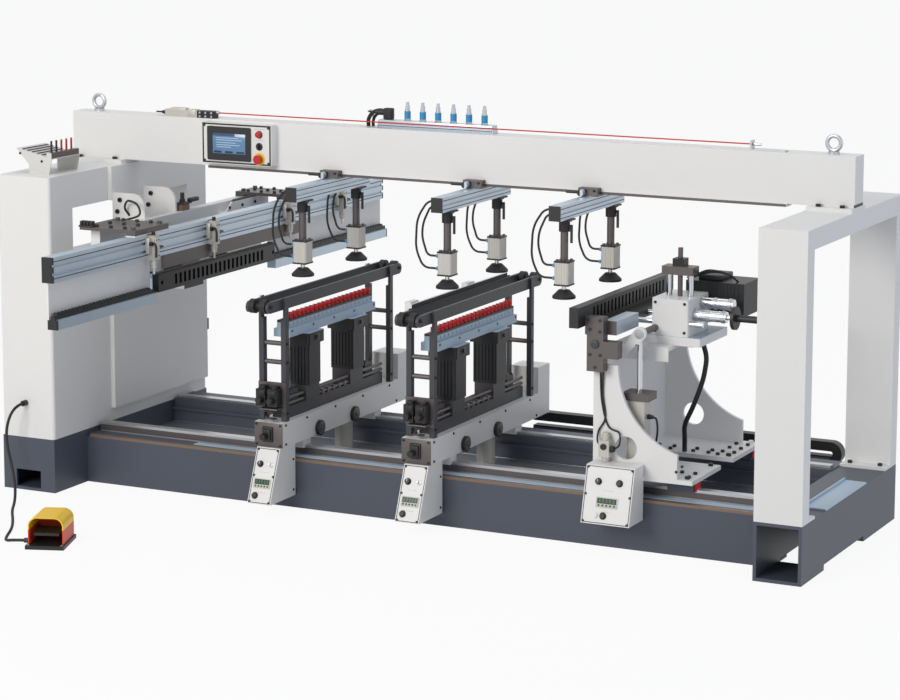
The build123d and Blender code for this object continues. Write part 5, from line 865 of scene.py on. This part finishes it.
@dataclass(frozen=True)
class PedalCord:
    """The cord from the left stand's gland to the foot pedal, one smooth open line."""

    radius: float = 5.5
    length: float = 1.086
    route: tuple[Point, ...] = (
        (109, -22, 343), (109, -60, 343), (98, -92, 310), (84, -98, 250), (92, -104, 190),
        (118, -112, 115), (150, -138, 46), (190, -200, 6), (255, -310, 6), (346, -430, 6),
        (412, -530, 6), (462, -634, 6), (489, -676, 6), (531.56, -683.57, 15),
        (567.27, -670.58, 15),
    )

    def build(self, paints: Paintbox) -> bpy.types.Object:
        """Make the cord as one NURBS line with a round section.

        Args:
            paints: where its material comes from.

        Returns:
            The cord's object.
        """
        curve = bpy.data.curves.new("pedal_flex", "CURVE")
        curve.dimensions = "3D"
        curve.bevel_depth = self.radius * MILLIMETRE
        curve.bevel_resolution = 4
        curve.use_fill_caps = True
        curve.resolution_u = 10
        line = curve.splines.new("NURBS")
        line.points.add(len(self.route) - 1)
        for point, spot in zip(line.points, self.route):
            point.co = (*place(*spot), 1.0)
        line.order_u = 3
        line.use_endpoint_u = True
        cord = bpy.data.objects.new("pedal_flex", curve)
        bpy.context.scene.collection.objects.link(cord)
        curve.materials.append(paints.material(RUBBER))
        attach(cord, "root")
        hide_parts("pedal_cord")
        return cord


@dataclass(frozen=True)
class Slope:
    """Leaning front face: across is +X, rise goes up the face, out leaves it."""

    middle: float
    foot: tuple[float, float]
    head: tuple[float, float]

    def lay(self, shells: list[Shell]) -> list[Shell]:
        """Move shells from the face's own across, rise and out to the machine."""
        foot = np.array((self.middle, *self.foot))
        rise = np.array((self.middle, *self.head)) - foot
        rise /= np.linalg.norm(rise)
        across = np.array((1.0, 0.0, 0.0))
        turn = np.stack([across, rise, np.cross(across, rise)])
        return [(foot + vertices @ turn, faces) for vertices, faces in shells]

    @property
    def length(self) -> float:
        """Return the face's length up the slope."""
        return math.hypot(self.head[0] - self.foot[0], self.head[1] - self.foot[1])


@dataclass(frozen=True)
class ControlPanel:
    """Printed plate, display, keys, key switch and knobs on a slanted box; the black strips along the plate's edges are
    painted gap shadow.
    """

    name: str
    body: str
    knob_body: str
    slope: Slope
    width: float
    knob: float
    second: float
    low: float
    key_switch: bool = True
    display_rise: float = 78.0
    display_half: float = 35.0

    def build(self, shop: Workshop) -> None:
        """Make the panel's pieces.

        Args:
            shop: makes the pieces.
        """
        half, top = self.width / 2, self.slope.length
        # rim is the width of the black strips of painted shade along the plate's edges, which stand in for the shadow
        # in the gap around the plate; inset places the screws.
        rim, inset = 2.6, 8.0
        lay = self.slope.lay
        side, low, high = half - 3.6, 3.6, top - 3.6
        edges = [
            Shapes.pad((-side, low, -0.2), (-side + rim, high, 0.9), 0.4, 2),
            Shapes.pad((side - rim, low, -0.2), (side, high, 0.9), 0.4, 2),
            Shapes.pad((-side, low, -0.2), (side, low + rim, 0.9), 0.4, 2),
            Shapes.pad((-side, high - rim, -0.2), (side, high, 0.9), 0.4, 2),
        ]
        screws = [
            Shapes.cap_screw((side * (half - inset), rise, 0.0), (0, 0, 1), 4.6, 3.4)
            for side in (-1, 1) for rise in (inset, top / 2, top - inset)
        ]
        # The rim piece holds the painted gap shadow strips and the black screws.
        shop.piece(f"{self.name}_rim", lay(edges + screws), BLACK, self.body)
        rise = self.display_rise
        reach = self.display_half
        digit = 0.14 * reach
        bezel = [Shapes.pad((-reach, rise - 18, 1.0), (reach, rise + 18, 3.3), 0.8, 3)]
        shop.piece(f"{self.name}_bezel", lay(bezel), BEIGE, self.body)
        glass = [Shapes.pad((-reach + 4, rise - 4, 3.0), (reach - 4, rise + 15, 3.7), 0.4, 2)]
        shop.piece(f"{self.name}_glass", lay(glass), LCD, self.body)
        digits = []
        for place_x in np.linspace(-0.72, 0.56, 5) * reach:
            for level in (0.5, 5.5, 10.5):
                digits.append(Shapes.pad((place_x, rise + level, 3.5), (place_x + digit, rise + level + 0.9, 4.0), 0.2, 2))
            for side in (0.0, digit - 0.8):
                digits.append(
                    Shapes.pad((place_x + side, rise + 0.6, 3.5), (place_x + side + 0.8, rise + 11, 4.0), 0.2, 2))
        shop.piece(f"{self.name}_digits", lay(digits), LCD_LIT, self.body)
        keys = [
            Shapes.lathe((across, rise - 10.5, 3.0), (0, 0, 1), [(0, 0.02), (0, 3.6), (1.6, 3.3), (2.1, 2.2), (2.1, 0.02)], 16)
            for across in np.linspace(-0.72, 0.72, 5) * reach
        ]
        shop.piece(f"{self.name}_keys", lay(keys), CHARCOAL, self.body)
        marks = [
            Shapes.pad((across - 1.2, level - 0.8, -0.2), (across + 1.2, level + 0.8, 0.4), 0.3, 2)
            for level in (rise + 42, rise - 34) for across in (-16, -8, 0, 8, 16)
        ]
        shop.piece(f"{self.name}_marks", lay(marks), CHARCOAL, self.body)
        round_knob = [(0, 0.02), (0, 13), (2.0, 13), (3.0, 10.4), (9.5, 9.6), (10.5, 8.6), (10.5, 0.02)]
        knobs = [Shapes.lathe((self.low, 31, -0.2), (0, 0, 1), round_knob, 28)]
        knobs.append(Shapes.lathe((self.knob, 150, -0.2), (0, 0, 1), [(0, 0.02), (0, 13), (1.6, 12.4), (1.6, 9.3), (0.4, 9.2), (0.4, 0.02)], 28))
        if not self.key_switch:
            knobs.append(Shapes.lathe((self.second, 150, -0.2), (0, 0, 1), round_knob, 28))
        shop.piece(f"{self.name}_knobs", lay(knobs), BLACK, self.body)
        if self.key_switch:
            barrel = [(0, 0.02), (0, 10), (3.4, 9.5), (3.8, 7.6), (3.2, 7.2), (3.2, 5), (6.4, 4.6), (6.4, 0.02)]
            switch = [
                Shapes.lathe((self.second, 150, -0.2), (0, 0, 1), barrel, 24),
                Shapes.pad((self.second - 1.2, 144, 5.5), (self.second + 1.2, 157, 15), 0.8, 3),
            ]
            shop.piece(f"{self.name}_key_switch", lay(switch), CHROME, self.body)
        pointer = [Shapes.pad((self.knob - 1.0, 149, 11.6), (self.knob + 1.0, 157.5, 12.5), 0.4, 3)]
        shop.piece(f"{self.name}_pointer", lay(pointer), WHITE, self.knob_body)


@dataclass(frozen=True)
class OperatorPanel:
    """Rim, screen picture, lamp dome and rings on the panel at the beam."""

    face: float = 468.0

    def build(self, shop: Workshop) -> None:
        """Make the panel's pieces."""
        front = self.face
        rim = [
            Shapes.pad((624, front - 1.4, 1249), (630, front + 1, 1402), 0.8, 3),
            Shapes.pad((920, front - 1.4, 1249), (926, front + 1, 1402), 0.8, 3),
            Shapes.pad((624, front - 1.4, 1249), (926, front + 1, 1255), 0.8, 3),
            Shapes.pad((624, front - 1.4, 1396), (926, front + 1, 1402), 0.8, 3),
        ]
        screws = [
            Shapes.cap_screw((x, front - 1, z), (0, -1, 0), 4.0, 3.0)
            for x in (634, 916) for z in (1258.5, 1392.5)
        ]
        shop.piece("operator_rim", rim + screws, BLACK, "root")
        picture = [Shapes.pad((671.5, 463.4, 1287), (816.5, 464.6, 1364), 0.6, 3)]
        zones = (
            Zone(Finish("picture_head", (58, 82, 124), 0.2), z=(1354, 1366)),
            Zone(Finish("picture_corner", (186, 204, 222), 0.2), x=(770, 818), z=(1354, 1366)),
            *[
                Zone(DISPLAY_PALE, x=(688, 690 + width), z=(level, level + 2.2))
                for level, width in ((1346, 96), (1338, 110), (1328, 84), (1319, 102), (1311, 64))
            ],
            *[
                Zone(Finish("picture_key", (44, 62, 96), 0.2), x=(x, x + 34), z=(1289, 1297))
                for x in (677, 727, 777)
            ],
        )
        shop.piece("operator_picture", picture, DISPLAY, "root", zones)
        dome = [(0, 0.02), (0, 11.5), (3, 11.5), (3.4, 9.6), (8, 8.8), (11, 6.4), (12.6, 3.0), (12.8, 0.02)]
        shop.piece(
            "operator_lamp", [Shapes.lathe((876, front - 4, 1367), (0, -1, 0), dome, 28)],
            RED, "root")
        ring = [(0, 0.02), (0, 15), (1.6, 15), (2.2, 14), (2.2, 0.02)]
        shop.piece(
            "operator_rings",
            [Shapes.lathe((876, front + 0.4, z), (0, -1, 0), ring, 28) for z in (1321, 1367)],
            CHARCOAL, "root")
        marks = [
            Shapes.pad((x, front - 0.4, z), (x + 3.4, front + 0.4, z + 1.6), 0.3, 2)
            for z in (1344, 1387) for x in (856, 864, 872, 880, 888, 896)
        ]
        shop.piece("operator_marks", marks, CHARCOAL, "root")


@dataclass(frozen=True)
class HeadDetails:
    """What a vertical head carries: valves, knobs, bolts, ticks and washers."""

    number: int
    middle: float

    def build(self, shop: Workshop) -> None:
        """Make the head's pieces."""
        head, mid = f"head_{self.number}", self.middle
        knob = [(0, 0.02), (0, 8), (4, 8), (4.5, 13), (22, 12.6), (25, 10.5), (25, 0.02)]
        front = [
            Shapes.pad((mid - 24, 108, 268), (mid + 20, 119, 326), 4),
            Shapes.pad((mid - 19, 100, 276), (mid + 15, 109, 318), 3),
            Shapes.lathe((mid - 6, 101, 292), (0, -1, 0), knob, 24),
        ]
        shop.piece(f"{head}_main_switch", front, BLACK, head)
        valves = [
            Shapes.lathe((mid + side * 23, 102, 428), (0, -1, 0), knob, 24) for side in (-1, 1)
        ]
        valves += [
            Shapes.pad((mid + side * 23 - 16, 97, 446), (mid + side * 23 + 16, 103, 464), 2)
            for side in (-1, 1)
        ]
        shop.piece(f"{head}_valve_knobs", valves, BLACK, head)
        plate = [
            Shapes.pad((mid - 60, 115.6, 249), (mid + 60, 118.4, 341), 1.4, 3),
            Shapes.pad((mid - 30, 96, 392), (mid + 48, 147, 398), 1.6, 3),
        ]
        shop.piece(f"{head}_front_plate", plate, BROWN_STEEL, head)
        latch = [
            Shapes.pad((mid - 22, 120, 352), (mid + 24, 144, 356), 1.2, 3),
            Shapes.pad((mid - 22, 120, 380), (mid + 24, 144, 384), 1.2, 3),
            Shapes.lathe((mid + 4, 112, 368), (0.2, -1, 0), [(0, 0.02), (0, 5), (24, 5), (26, 3.6), (26, 0.02)], 16),
        ]
        shop.piece(f"{head}_latch", latch, CHARCOAL, head)
        corner = [
            Shapes.cap_screw((mid + side * 51, 116, z), (0, -1, 0), 4.2, 4.0)
            for side in (-1, 1) for z in (257, 333)
        ]
        side_bolts = [
            Shapes.cap_screw((mid + 59, y, z), (1, 0, 0), 4.6, 3.4)
            for y, z in ((142, 331), (300, 331), (520, 331), (740, 331), (960, 331), (142, 259), (1020, 259))
        ]
        box_bolts = [
            Shapes.cap_screw((mid + 55, y, z), (1, 0, 0), 4.6, 3.0)
            for y, z in ((202, 74), (202, 190))
        ]
        tops = [
            Shapes.cap_screw((mid + side * 20, y, 445.6), (0, 0, 1), 5.0, 5.0)
            for side in (-1, 1) for y in (240, 284, 828, 872)
        ]
        shop.piece(f"{head}_screws", corner + side_bolts + box_bolts + tops, IRON, head)
        lock = [(0, 0.02), (0, 24), (1.6, 24), (2.4, 22), (2.4, 14), (1.2, 13), (1.2, 7.5), (5.0, 7), (5.6, 5.6), (5.6, 0.02)]
        shop.piece(
            f"{head}_lock_discs",
            [Shapes.lathe((mid + 70.6, y, 274), (1, 0, 0), lock, 32) for y in (391, 666)],
            BROWN_STEEL, head)
        rods = [
            Shapes.lathe((mid + across, 210, z), (0, 1, 0), [(0, 0.02), (0, 6.6), (736, 6.6), (736, 0.02)], 18)
            for across, z in ((29, 398), (-29, 398), (29, 420))
        ]
        rods += [
            Shapes.pad((mid + 24, y, 388), (mid + 37, y + 16, 408), 2, 3) for y in (456, 500, 544, 588, 632)
        ]
        shop.piece(f"{head}_slide_rods", rods, BROWN_STEEL, head)
        bars = [
            Shapes.cap_screw((mid + 47, y, 788), (1, 0, 0), 7.0, 6.0) for y in (60, 162, 985, 1070)
        ]
        ties = [
            Shapes.cap_screw((mid + 57, y, z), (1, 0, 0), 5.4, 3.6)
            for y, z in ((162, 635), (162, 564), (986, 626), (986, 557), (162, 372), (986, 372))
        ]
        shop.piece(f"{head}_frame_screws", bars + ties, IRON, head)
        ticks = [
            Shapes.pad((mid + 19.6, 240 + 32 * k - 1.4, 686), (mid + 20.5, 240 + 32 * k + 1.4, 697), 0.4, 2)
            for k in range(21)
        ]
        ticks += [
            Shapes.pad((mid + 33.6, 234 + 160 * k, 664.5), (mid + 34.6, 246 + 160 * k, 673.5), 0.4, 2)
            for k in range(5)
        ]
        shop.piece(f"{head}_ticks", ticks, CHARCOAL, f"{head}_drill")
        bits = [
            Shapes.lathe(
                (mid + 6, 240 + 32 * k, 732.5), (0, 0, 1),
                [(0, 0.02), (0, 5.4), (1.2, 5.2), (1.6, 2.6), (1.6, 0.02)], 16)
            for k in range(1, 20)
        ]
        bits += [
            Shapes.cap_screw((mid + 15.8, 240 + 32 * k, 722), (1, 0, 0), 2.6, 1.4)
            for k in range(21)
        ]
        shop.piece(f"{head}_sockets", bits, HOLE, f"{head}_drill")
        plates = []
        for y in (381, 726):
            plates.append(Shapes.pad((mid + 48, y - 22, 612), (mid + 60, y + 22, 640), 3))
            plates.append(Shapes.lathe((mid + 59, y, 626), (1, 0, 0), [(0, 0.02), (0, 8), (5, 8), (6, 6.6), (6, 0.02)], 18))
        shop.piece(f"{head}_motor_boxes", plates, BLACK, f"{head}_drill")


@dataclass(frozen=True)
class PresserDetails:
    """Grooves, screws and end plates of a presser."""

    number: int
    middle: float

    def build(self, shop: Workshop) -> None:
        """Make the presser's pieces."""
        presser, mid = f"presser_{self.number}", self.middle
        screws = [
            Shapes.cap_screw((mid + dx, y + dy, 1009.6), (0, 0, 1), 4.2, 6.0)
            for y in (277, 691) for dx in (-19, 19) for dy in (-19, 19)
        ]
        screws += [
            Shapes.cap_screw((mid + dx, y, 1155.5), (0, 0, -1), 4.0, 4.0)
            for y in (277, 691) for dx in (-24, 24)
        ]
        screws += [
            Shapes.cap_screw((mid + dx, 478.4, 1236), (0, -1, 0), 5.0, 4.0) for dx in (-8, 26)
        ]
        shop.piece(f"{presser}_screws", screws, IRON, f"{presser}")
        ribs = []
        for y in (277, 691):
            for along in (-20, -10, 0, 10, 20):
                ribs.append(Shapes.pad((mid + 26.9, y + along - 2.4, 924), (mid + 28.6, y + along + 2.4, 1008), 0.6, 2))
                ribs.append(Shapes.pad((mid + along - 2.4, y - 28.6, 924), (mid + along + 2.4, y - 26.9, 1008), 0.6, 2))
        shop.piece(f"{presser}_ribs", ribs, SILVER, f"{presser}")
        plates = [
            Shapes.pad((mid - 29, y - 29, z), (mid + 29, y + 29, z + 7), 2.0, 3)
            for y in (277, 691) for z in (921, 1004)
        ]
        shop.piece(f"{presser}_end_plates", plates, IRON, f"{presser}")
        # Painted shade: flat charcoal strips along the arm's two slots stand in for the shade inside them.
        slots = [
            Shapes.pad((mid + side * 22.3 - 0.6, 195, z - 1.6), (mid + side * 22.3 + 0.6, 762, z + 1.6), 0.4, 2)
            for side in (-1, 1) for z in (1172, 1204)
        ]
        shop.piece(f"{presser}_arm_lines", slots, CHARCOAL, f"{presser}")


@dataclass(frozen=True)
class LeftDetails:
    """Bolts, cable and stop parts around the left bridge and its fence."""

    stops: tuple[float, ...] = (95.0, 525.0, 1113.0, 1550.0)

    def build(self, shop: Workshop) -> None:
        """Make the pieces on the left."""
        bolts = [
            Shapes.cap_screw((x, y, z), (0, -1, 0), 9.0, 8.0)
            for x, y, z in ((288, 400, 1088), (276, 400, 1042), (288, 620, 1088), (276, 620, 1042))
        ]
        bolts += [
            Shapes.cap_screw((x, y, 1041.6), (0, 0, 1), 7.5, 9.0)
            for x in (430, 492, 554) for y in (26, 115, 204)
        ]
        bolts += [
            Shapes.cap_screw((x, y, 1041.6), (0, 0, 1), 7.0, 9.0)
            for x in (430, 492, 554) for y in (1128, 1180, 1232)
        ]
        bolts += [Shapes.cap_screw((453, y, 1000), (1, 0, 0), 6.0, 5.0) for y in (940, 1040, 1140)]
        shop.piece("bridge_bolts", bolts, IRON, "root")
        connectors = [
            Shapes.pad((372 + 14 * k, -2, 1046), (383 + 14 * k, 22, 1064), 2) for k in range(4)
        ]
        connectors += [Shapes.pad((368, -6, 1041.8), (430, 30, 1048), 2)]
        shop.piece("bridge_connectors", connectors, BLACK, "root")
        cable = [Shapes.hose([(330, 398, 1030), (322, 380, 1062), (346, 366, 1092), (392, 360, 1080), (420, 330, 1046), (424, 220, 1040)], 4.2)]
        shop.piece("bridge_cable", cable, RUBBER, "root")
        bodies, levers, screws = [], [], []
        for y in self.stops:
            bodies.append(Shapes.pad((620, y - 34, 948), (636, y - 17, 1006), 2, 3))
            bodies.append(Shapes.pad((620, y + 16, 930), (640, y + 30, 1004), 2, 3))
            bodies.append(Shapes.pad((648, y - 13, 930), (653, y + 13, 1006), 1.5, 3))
            bodies.append(Shapes.lathe((635, y, 915), (0, 0, -1), [(0, 0.02), (0, 13), (8, 13), (12, 10.9), (24, 10.9), (26, 9), (26, 5.6), (20, 5.5), (20, 0.02)], 24))
            levers.append(Shapes.hose([(644, y - 24, 985), (658, y - 26, 986), (664, y - 27, 968), (664, y - 28, 936)], 4.4, 12, 6))
            levers.append(Shapes.lathe((634, y - 25, 985), (1, 0, 0), [(0, 0.02), (0, 8), (12, 8), (13, 6.5), (13, 0.02)], 18))
            screws += [
                Shapes.cap_screw((652.6, y + side, z), (1, 0, 0), 2.6, 2.0)
                for side in (-8, 8) for z in (938, 998)
            ]
            screws += [Shapes.cap_screw((638, y + 23, z), (1, 0, 0), 3.2, 3.0) for z in (942, 990)]
        shop.piece("stop_bodies", bodies, SILVER, "root")
        shop.piece("stop_levers", levers, BLACK, "root")
        shop.piece("stop_screws", screws, IRON, "root")
        # Painted shade: flat charcoal strips along the fence's two slots stand in for the shade inside them.
        slots = [
            Shapes.pad((x - 0.8, y0, z - 1.8), (x + 0.8, y1, z + 1.8), 0.5, 2)
            for x, z in ((620, 941), (620, 1002)) for y0, y1 in ((-534, 1939),)
        ]
        shop.piece("fence_lines", slots, CHARCOAL, "root")
        lock = [
            Shapes.pad((378, 640, 1046), (424, 705, 1052), 2),
            Shapes.lathe((400, 672, 1050), (0, 0, 1), [(0, 0.02), (0, 12), (14, 12), (15, 8.6), (40, 8.4), (41, 7), (41, 0.02)], 20),
            Shapes.pad((404, 700, 1050), (424, 760, 1066), 3),
        ]
        shop.piece("bridge_lock", lock, BLACK, "root")


@dataclass(frozen=True)
class RightDetails:
    """Bolts, cables, filter fittings and gauges of the unit on the right."""

    def build(self, shop: Workshop) -> None:
        """Make the pieces on the right unit."""
        spots = [(x, y) for x in (2440, 2500, 2590, 2650) for y in (660, 700)]
        spots += [(x, y) for x in (2690, 2735) for y in (650, 700, 770, 840)]
        spots += [(x, y) for x in (2610, 2680, 2730) for y in (270, 330)]
        bolts = [Shapes.cap_screw((x, y, 271.6), (0, 0, 1), 7.6, 9.0) for x, y in spots]
        wipers = [
            Shapes.pad((x, y0, z0), (x + 9, y0 + 42, z0 + 34), 2, 3)
            for x, y0, z0 in ((2740, 296, 217), (2740, 858, 224), (2391, 296, 217), (2391, 858, 224))
        ]
        shop.piece("right_wipers", wipers, RED, "right_unit")
        bolts += [Shapes.cap_screw((x, y, z), (0, -1, 0), 5.0, 4.0)
                  for x, y, z in ((2700, 225, 300), (2722, 225, 322))]
        shop.piece("right_plate_bolts", bolts, IRON, "right_unit")
        housing = [
            Shapes.cap_screw((x, 440, z), (0, -1, 0), 5.0, 4.0)
            for x in (2524, 2636) for z in (754, 858)
        ]
        shop.piece("right_housing_screws", housing, IRON, "right_head")
        bracket = [
            Shapes.cap_screw((x, 180, z), (0, -1, 0), 5.4, 4.6)
            for x, z in ((2378, 824), (2422, 824), (2384, 790), (2422, 784), (2384, 700), (2424, 700), (2404, 655))
        ]
        bracket += [Shapes.lathe((2404, 181, 738), (0, -1, 0), [(0, 0.02), (0, 15), (6, 15), (7, 13), (7, 0.02)], 28)]
        shop.piece("right_bracket_screws", bracket, CHARCOAL, "right_drill")
        lever = [
            Shapes.lathe((2525, 294, 766), (0, -1, 0), [(0, 0.02), (0, 17), (5, 17), (6.5, 15), (6.5, 10), (9, 9.4), (9, 0.02)], 28),
        ]
        shop.piece("right_lever_pin", lever, BRIGHT, "right_head")
        ends = []
        for y, z in ((500, 812), (570, 846)):
            for x in (2652, 2700, 2756):
                ends.append(Shapes.lathe((x, y, z), (1, 0, 0), [(0, 0.02), (0, 21.6), (1, 22.4), (11, 22.4), (12, 21.6), (12, 0.02)], 28))
        shop.piece("right_cylinder_rings", ends, BRIGHT, "right_head")
        fins = [
            Shapes.pad((2575 + 14 * k, 637.5, 800), (2581 + 14 * k, 642, 905), 1, 2) for k in range(14)
        ]
        fins += [Shapes.pad((2600, 660, 909), (2690, 780, 932), 5)]
        shop.piece("right_motor_fins", fins, IRON, "right_head")
        cables = [
            Shapes.hose([(2560 + 9 * k, 655, 918), (2600 + 10 * k, 600, 930 + 6 * k), (2690, 560 - 8 * k, 960 + 5 * k), (2740, 600, 950), (2745, 690, 908)], 3.6)
            for k in range(3)
        ]
        shop.piece("right_motor_leads", cables, RUBBER, "right_head")
        filter_parts = [
            Shapes.lathe((2438, 205, 330), (0, 0, -1), [(0, 0.02), (0, 13), (10, 13), (18, 10), (24, 5), (28, 4.6), (28, 0.02)], 24),
            Shapes.lathe((2438, 205, 394), (0, 0, 1), [(0, 0.02), (0, 15), (6, 15), (7, 12.5), (24, 12), (27, 9.5), (27, 0.02)], 24),
        ]
        shop.piece("right_filter_caps", filter_parts, SILVER, "right_unit")
        gauge = [
            Shapes.lathe((2438, 186, 372), (0, -1, 0), [(0, 0.02), (0, 11), (7, 11), (8, 9.6), (8, 0.02)], 24),
            Shapes.pad((2456, 193, 352), (2472, 214, 372), 3),
        ]
        shop.piece("right_filter_gauge", gauge, BLACK, "right_unit")
        hoses = [
            Shapes.hose([(2470, 203, 362), (2490, 204, 380), (2484, 216, 420), (2440, 221, 440), (2416, 221, 520), (2410, 219, 610), (2414, 214, 690)], 3.4),
            Shapes.hose([(2421, 204, 372), (2406, 206, 384), (2404, 218, 420), (2428, 221, 470), (2418, 219, 560), (2424, 214, 690)], 3.4),
        ]
        shop.piece("right_filter_hoses", hoses, RUBBER, "right_unit")
        port = [
            Shapes.lathe((2559, 300, 470), (1, 0, 0), [(0, 0.02), (0, 9), (10, 9), (11, 7), (20, 6.6), (20, 0.02)], 20),
            Shapes.hose([(2578, 300, 470), (2590, 302, 462), (2594, 304, 420), (2584, 306, 350), (2578, 308, 272)], 3.8),
        ]
        shop.piece("right_cylinder_port", port, RUBBER, "right_unit")
        grooves = [
            Shapes.pad((2491.2 + k * 13, 266.4, 276), (2494 + k * 13, 267.6, 528), 0.4, 2) for k in range(6)
        ]
        shop.piece("right_cylinder_ribs", grooves, SILVER, "right_unit")


@dataclass(frozen=True)
class BeamTop:
    """Air block, feed hose, rope switch nose and the tool rack's slots and screws."""

    def build(self, shop: Workshop) -> None:
        """Make the pieces on top of the beam and of the left stand."""
        block = [Shapes.pad((1352, 535, 1412.2), (1828, 579, 1443), 2, 3)]
        shop.piece("manifold_block", block, ALUMINIUM, "root")
        lines = [
            Shapes.pad((1353, 534.4, z), (1827, 536, z + 2.4), 0.5, 2) for z in (1421, 1433)
        ]
        shop.piece("manifold_lines", lines, CHARCOAL, "root")
        collars = [
            Shapes.lathe((1466 + 64 * k, 557, 1442), (0, 0, 1), [(0, 0.02), (0, 13.5), (5, 13.5), (6, 12), (10, 12), (10, 0.02)], 6)
            for k in range(6)
        ]
        collars += [
            Shapes.lathe((1466 + 64 * k, 557, 1476), (0, 0, 1), [(0, 0.02), (0, 9.6), (9, 9.6), (10, 8.4), (24, 8.2), (25, 7), (25, 6.2), (25, 0.02)], 20)
            for k in range(6)
        ]
        shop.piece("manifold_collars", collars, BRIGHT, "root")
        feed = [
            Shapes.hose([(1378, 557, 1470), (1350, 558, 1476), (1318, 560, 1466), (1296, 566, 1440), (1290, 576, 1411)], 7.5),
            Shapes.hose([(1378, 567, 1462), (1348, 570, 1466), (1322, 574, 1454), (1308, 580, 1432), (1304, 588, 1411)], 6.0),
            Shapes.pad((1368, 544, 1443), (1404, 572, 1486), 5),
        ]
        shop.piece("manifold_feed", feed, RUBBER, "root")
        nose = [
            Shapes.lathe((431, 528, 1426), (-1, 0, 0), [(0, 0.02), (0, 11), (10, 11), (12, 8), (24, 6), (26, 3.4), (52, 3), (52, 0.02)], 20),
        ]
        shop.piece("rope_switch_nose", nose, IRON, "root")
        body = [
            Shapes.pad((452, 513, 1424), (520, 543, 1447), 4),
            Shapes.pad((530, 509.6, 1416), (566, 546, 1443), 3),
        ]
        shop.piece("rope_switch_body", body, SILVER, "root")
        knobs = [
            Shapes.cap_screw((x, 512.2, z), (0, -1, 0), 4.5, 4.0) for x in (586, 612, 638) for z in (1419, 1433)
        ]
        shop.piece("rope_switch_screws", knobs, BRIGHT, "root")
        # Painted shade: flat charcoal strips on the rack's top stand in for the shade inside its slots.
        slots = [
            Shapes.pad((x, 92, 1310.2 - 0.205 * (x - 34)), (x + 7, 258, 1313.2 - 0.205 * (x - 34)), 0.8, 2)
            for x in (52, 74, 96, 118, 140)
        ]
        shop.piece("rack_slots", slots, CHARCOAL, "root")
        screws = [
            Shapes.cap_screw((x, 80, z), (0, -1, 0), 4.6, 3.2) for x, z in ((52, 1292), (150, 1266))
        ]
        shop.piece("rack_screws", screws, IRON, "root")
        plug = [
            Shapes.hose([(203, 1139, 470), (206, 1143, 440), (210, 1141, 400), (206, 1136, 340), (204, 1120, 300), (204, 1096, 280)], 7.0),
        ]
        shop.piece("stand_lead", plug, RUBBER, "root")


@dataclass(frozen=True)
class PedalDetails:
    """Screws of the foot pedal's base."""

    turn: float = 20.0
    middle: Point = (645.0, -621.0, 0.0)

    def _turned(self, shell: Shell) -> Shell:
        """Turn a shell from the pedal's own lengths to the machine."""
        vertices, faces = shell
        angle = math.radians(self.turn)
        spin = np.array([[math.cos(angle), math.sin(angle), 0.0],
                         [-math.sin(angle), math.cos(angle), 0.0], [0.0, 0.0, 1.0]])
        return vertices @ spin + np.array(self.middle), faces

    def build(self, shop: Workshop) -> None:
        """Make the screws of the pedal's base."""
        screws = [
            self._turned(Shapes.cap_screw((u, v, 13.6), (0, 0, 1), 4.0, 3.0))
            for u in (-60, 60) for v in (-80,)
        ]
        shop.piece("pedal_screws", screws, BRIGHT, "root")


def control_panels() -> list[ControlPanel]:
    """Return the three slanted control panels."""
    panels = [
        ControlPanel(
            name=f"head_{number}_panel", body=f"head_{number}", knob_body=f"head_{number}_knob",
            slope=Slope(middle + 6.0, (29.0, 50.0), (107.0, 248.0)), width=98.0,
            knob=-22.0, second=22.0, low=-22.0)
        for number, middle in ((1, 1112.0), (2, 1729.0))
    ]
    panels.append(ControlPanel(
        name="right_panel", body="right_unit", knob_body="right_knob",
        slope=Slope(2485.5, (91.0, 115.0), (142.0, 315.0)), width=185.0,
        knob=-40.0, second=40.0, low=-10.0, key_switch=False, display_half=41.0))
    return panels


def main() -> None:
    """Build the studio, paint the CAD frame and add the pieces."""
    logging.basicConfig(level=logging.INFO)
    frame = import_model()
    Studio().build()
    paints = Paintbox()
    parts = Frame(frame["nodes"], paints)
    parts.frame_parts()
    parts.side_units()
    parts.heads()
    parts.pressers()
    parts.pedal()
    LOG.info("painted %d nodes", len(parts.painted))
    PedalCord().build(paints)
    shop = Workshop(paints)
    OperatorPanel().build(shop)
    for panel in control_panels():
        panel.build(shop)
    for number, middle in ((1, 1112.0), (2, 1729.0)):
        HeadDetails(number, middle).build(shop)
    for number, middle in ((1, 1172.0), (2, 1774.0), (3, 2239.0)):
        PresserDetails(number, middle).build(shop)
    BeamTop().build(shop)
    LeftDetails().build(shop)
    RightDetails().build(shop)
    PedalDetails().build(shop)
    LOG.info("%d pieces made", shop.count)
    bare = sorted(set(frame["nodes"]) - set(parts.painted) - {"pedal_cord"})
    LOG.info("nodes without a finish: %s", bare)


if __name__ == "__main__":
    main()
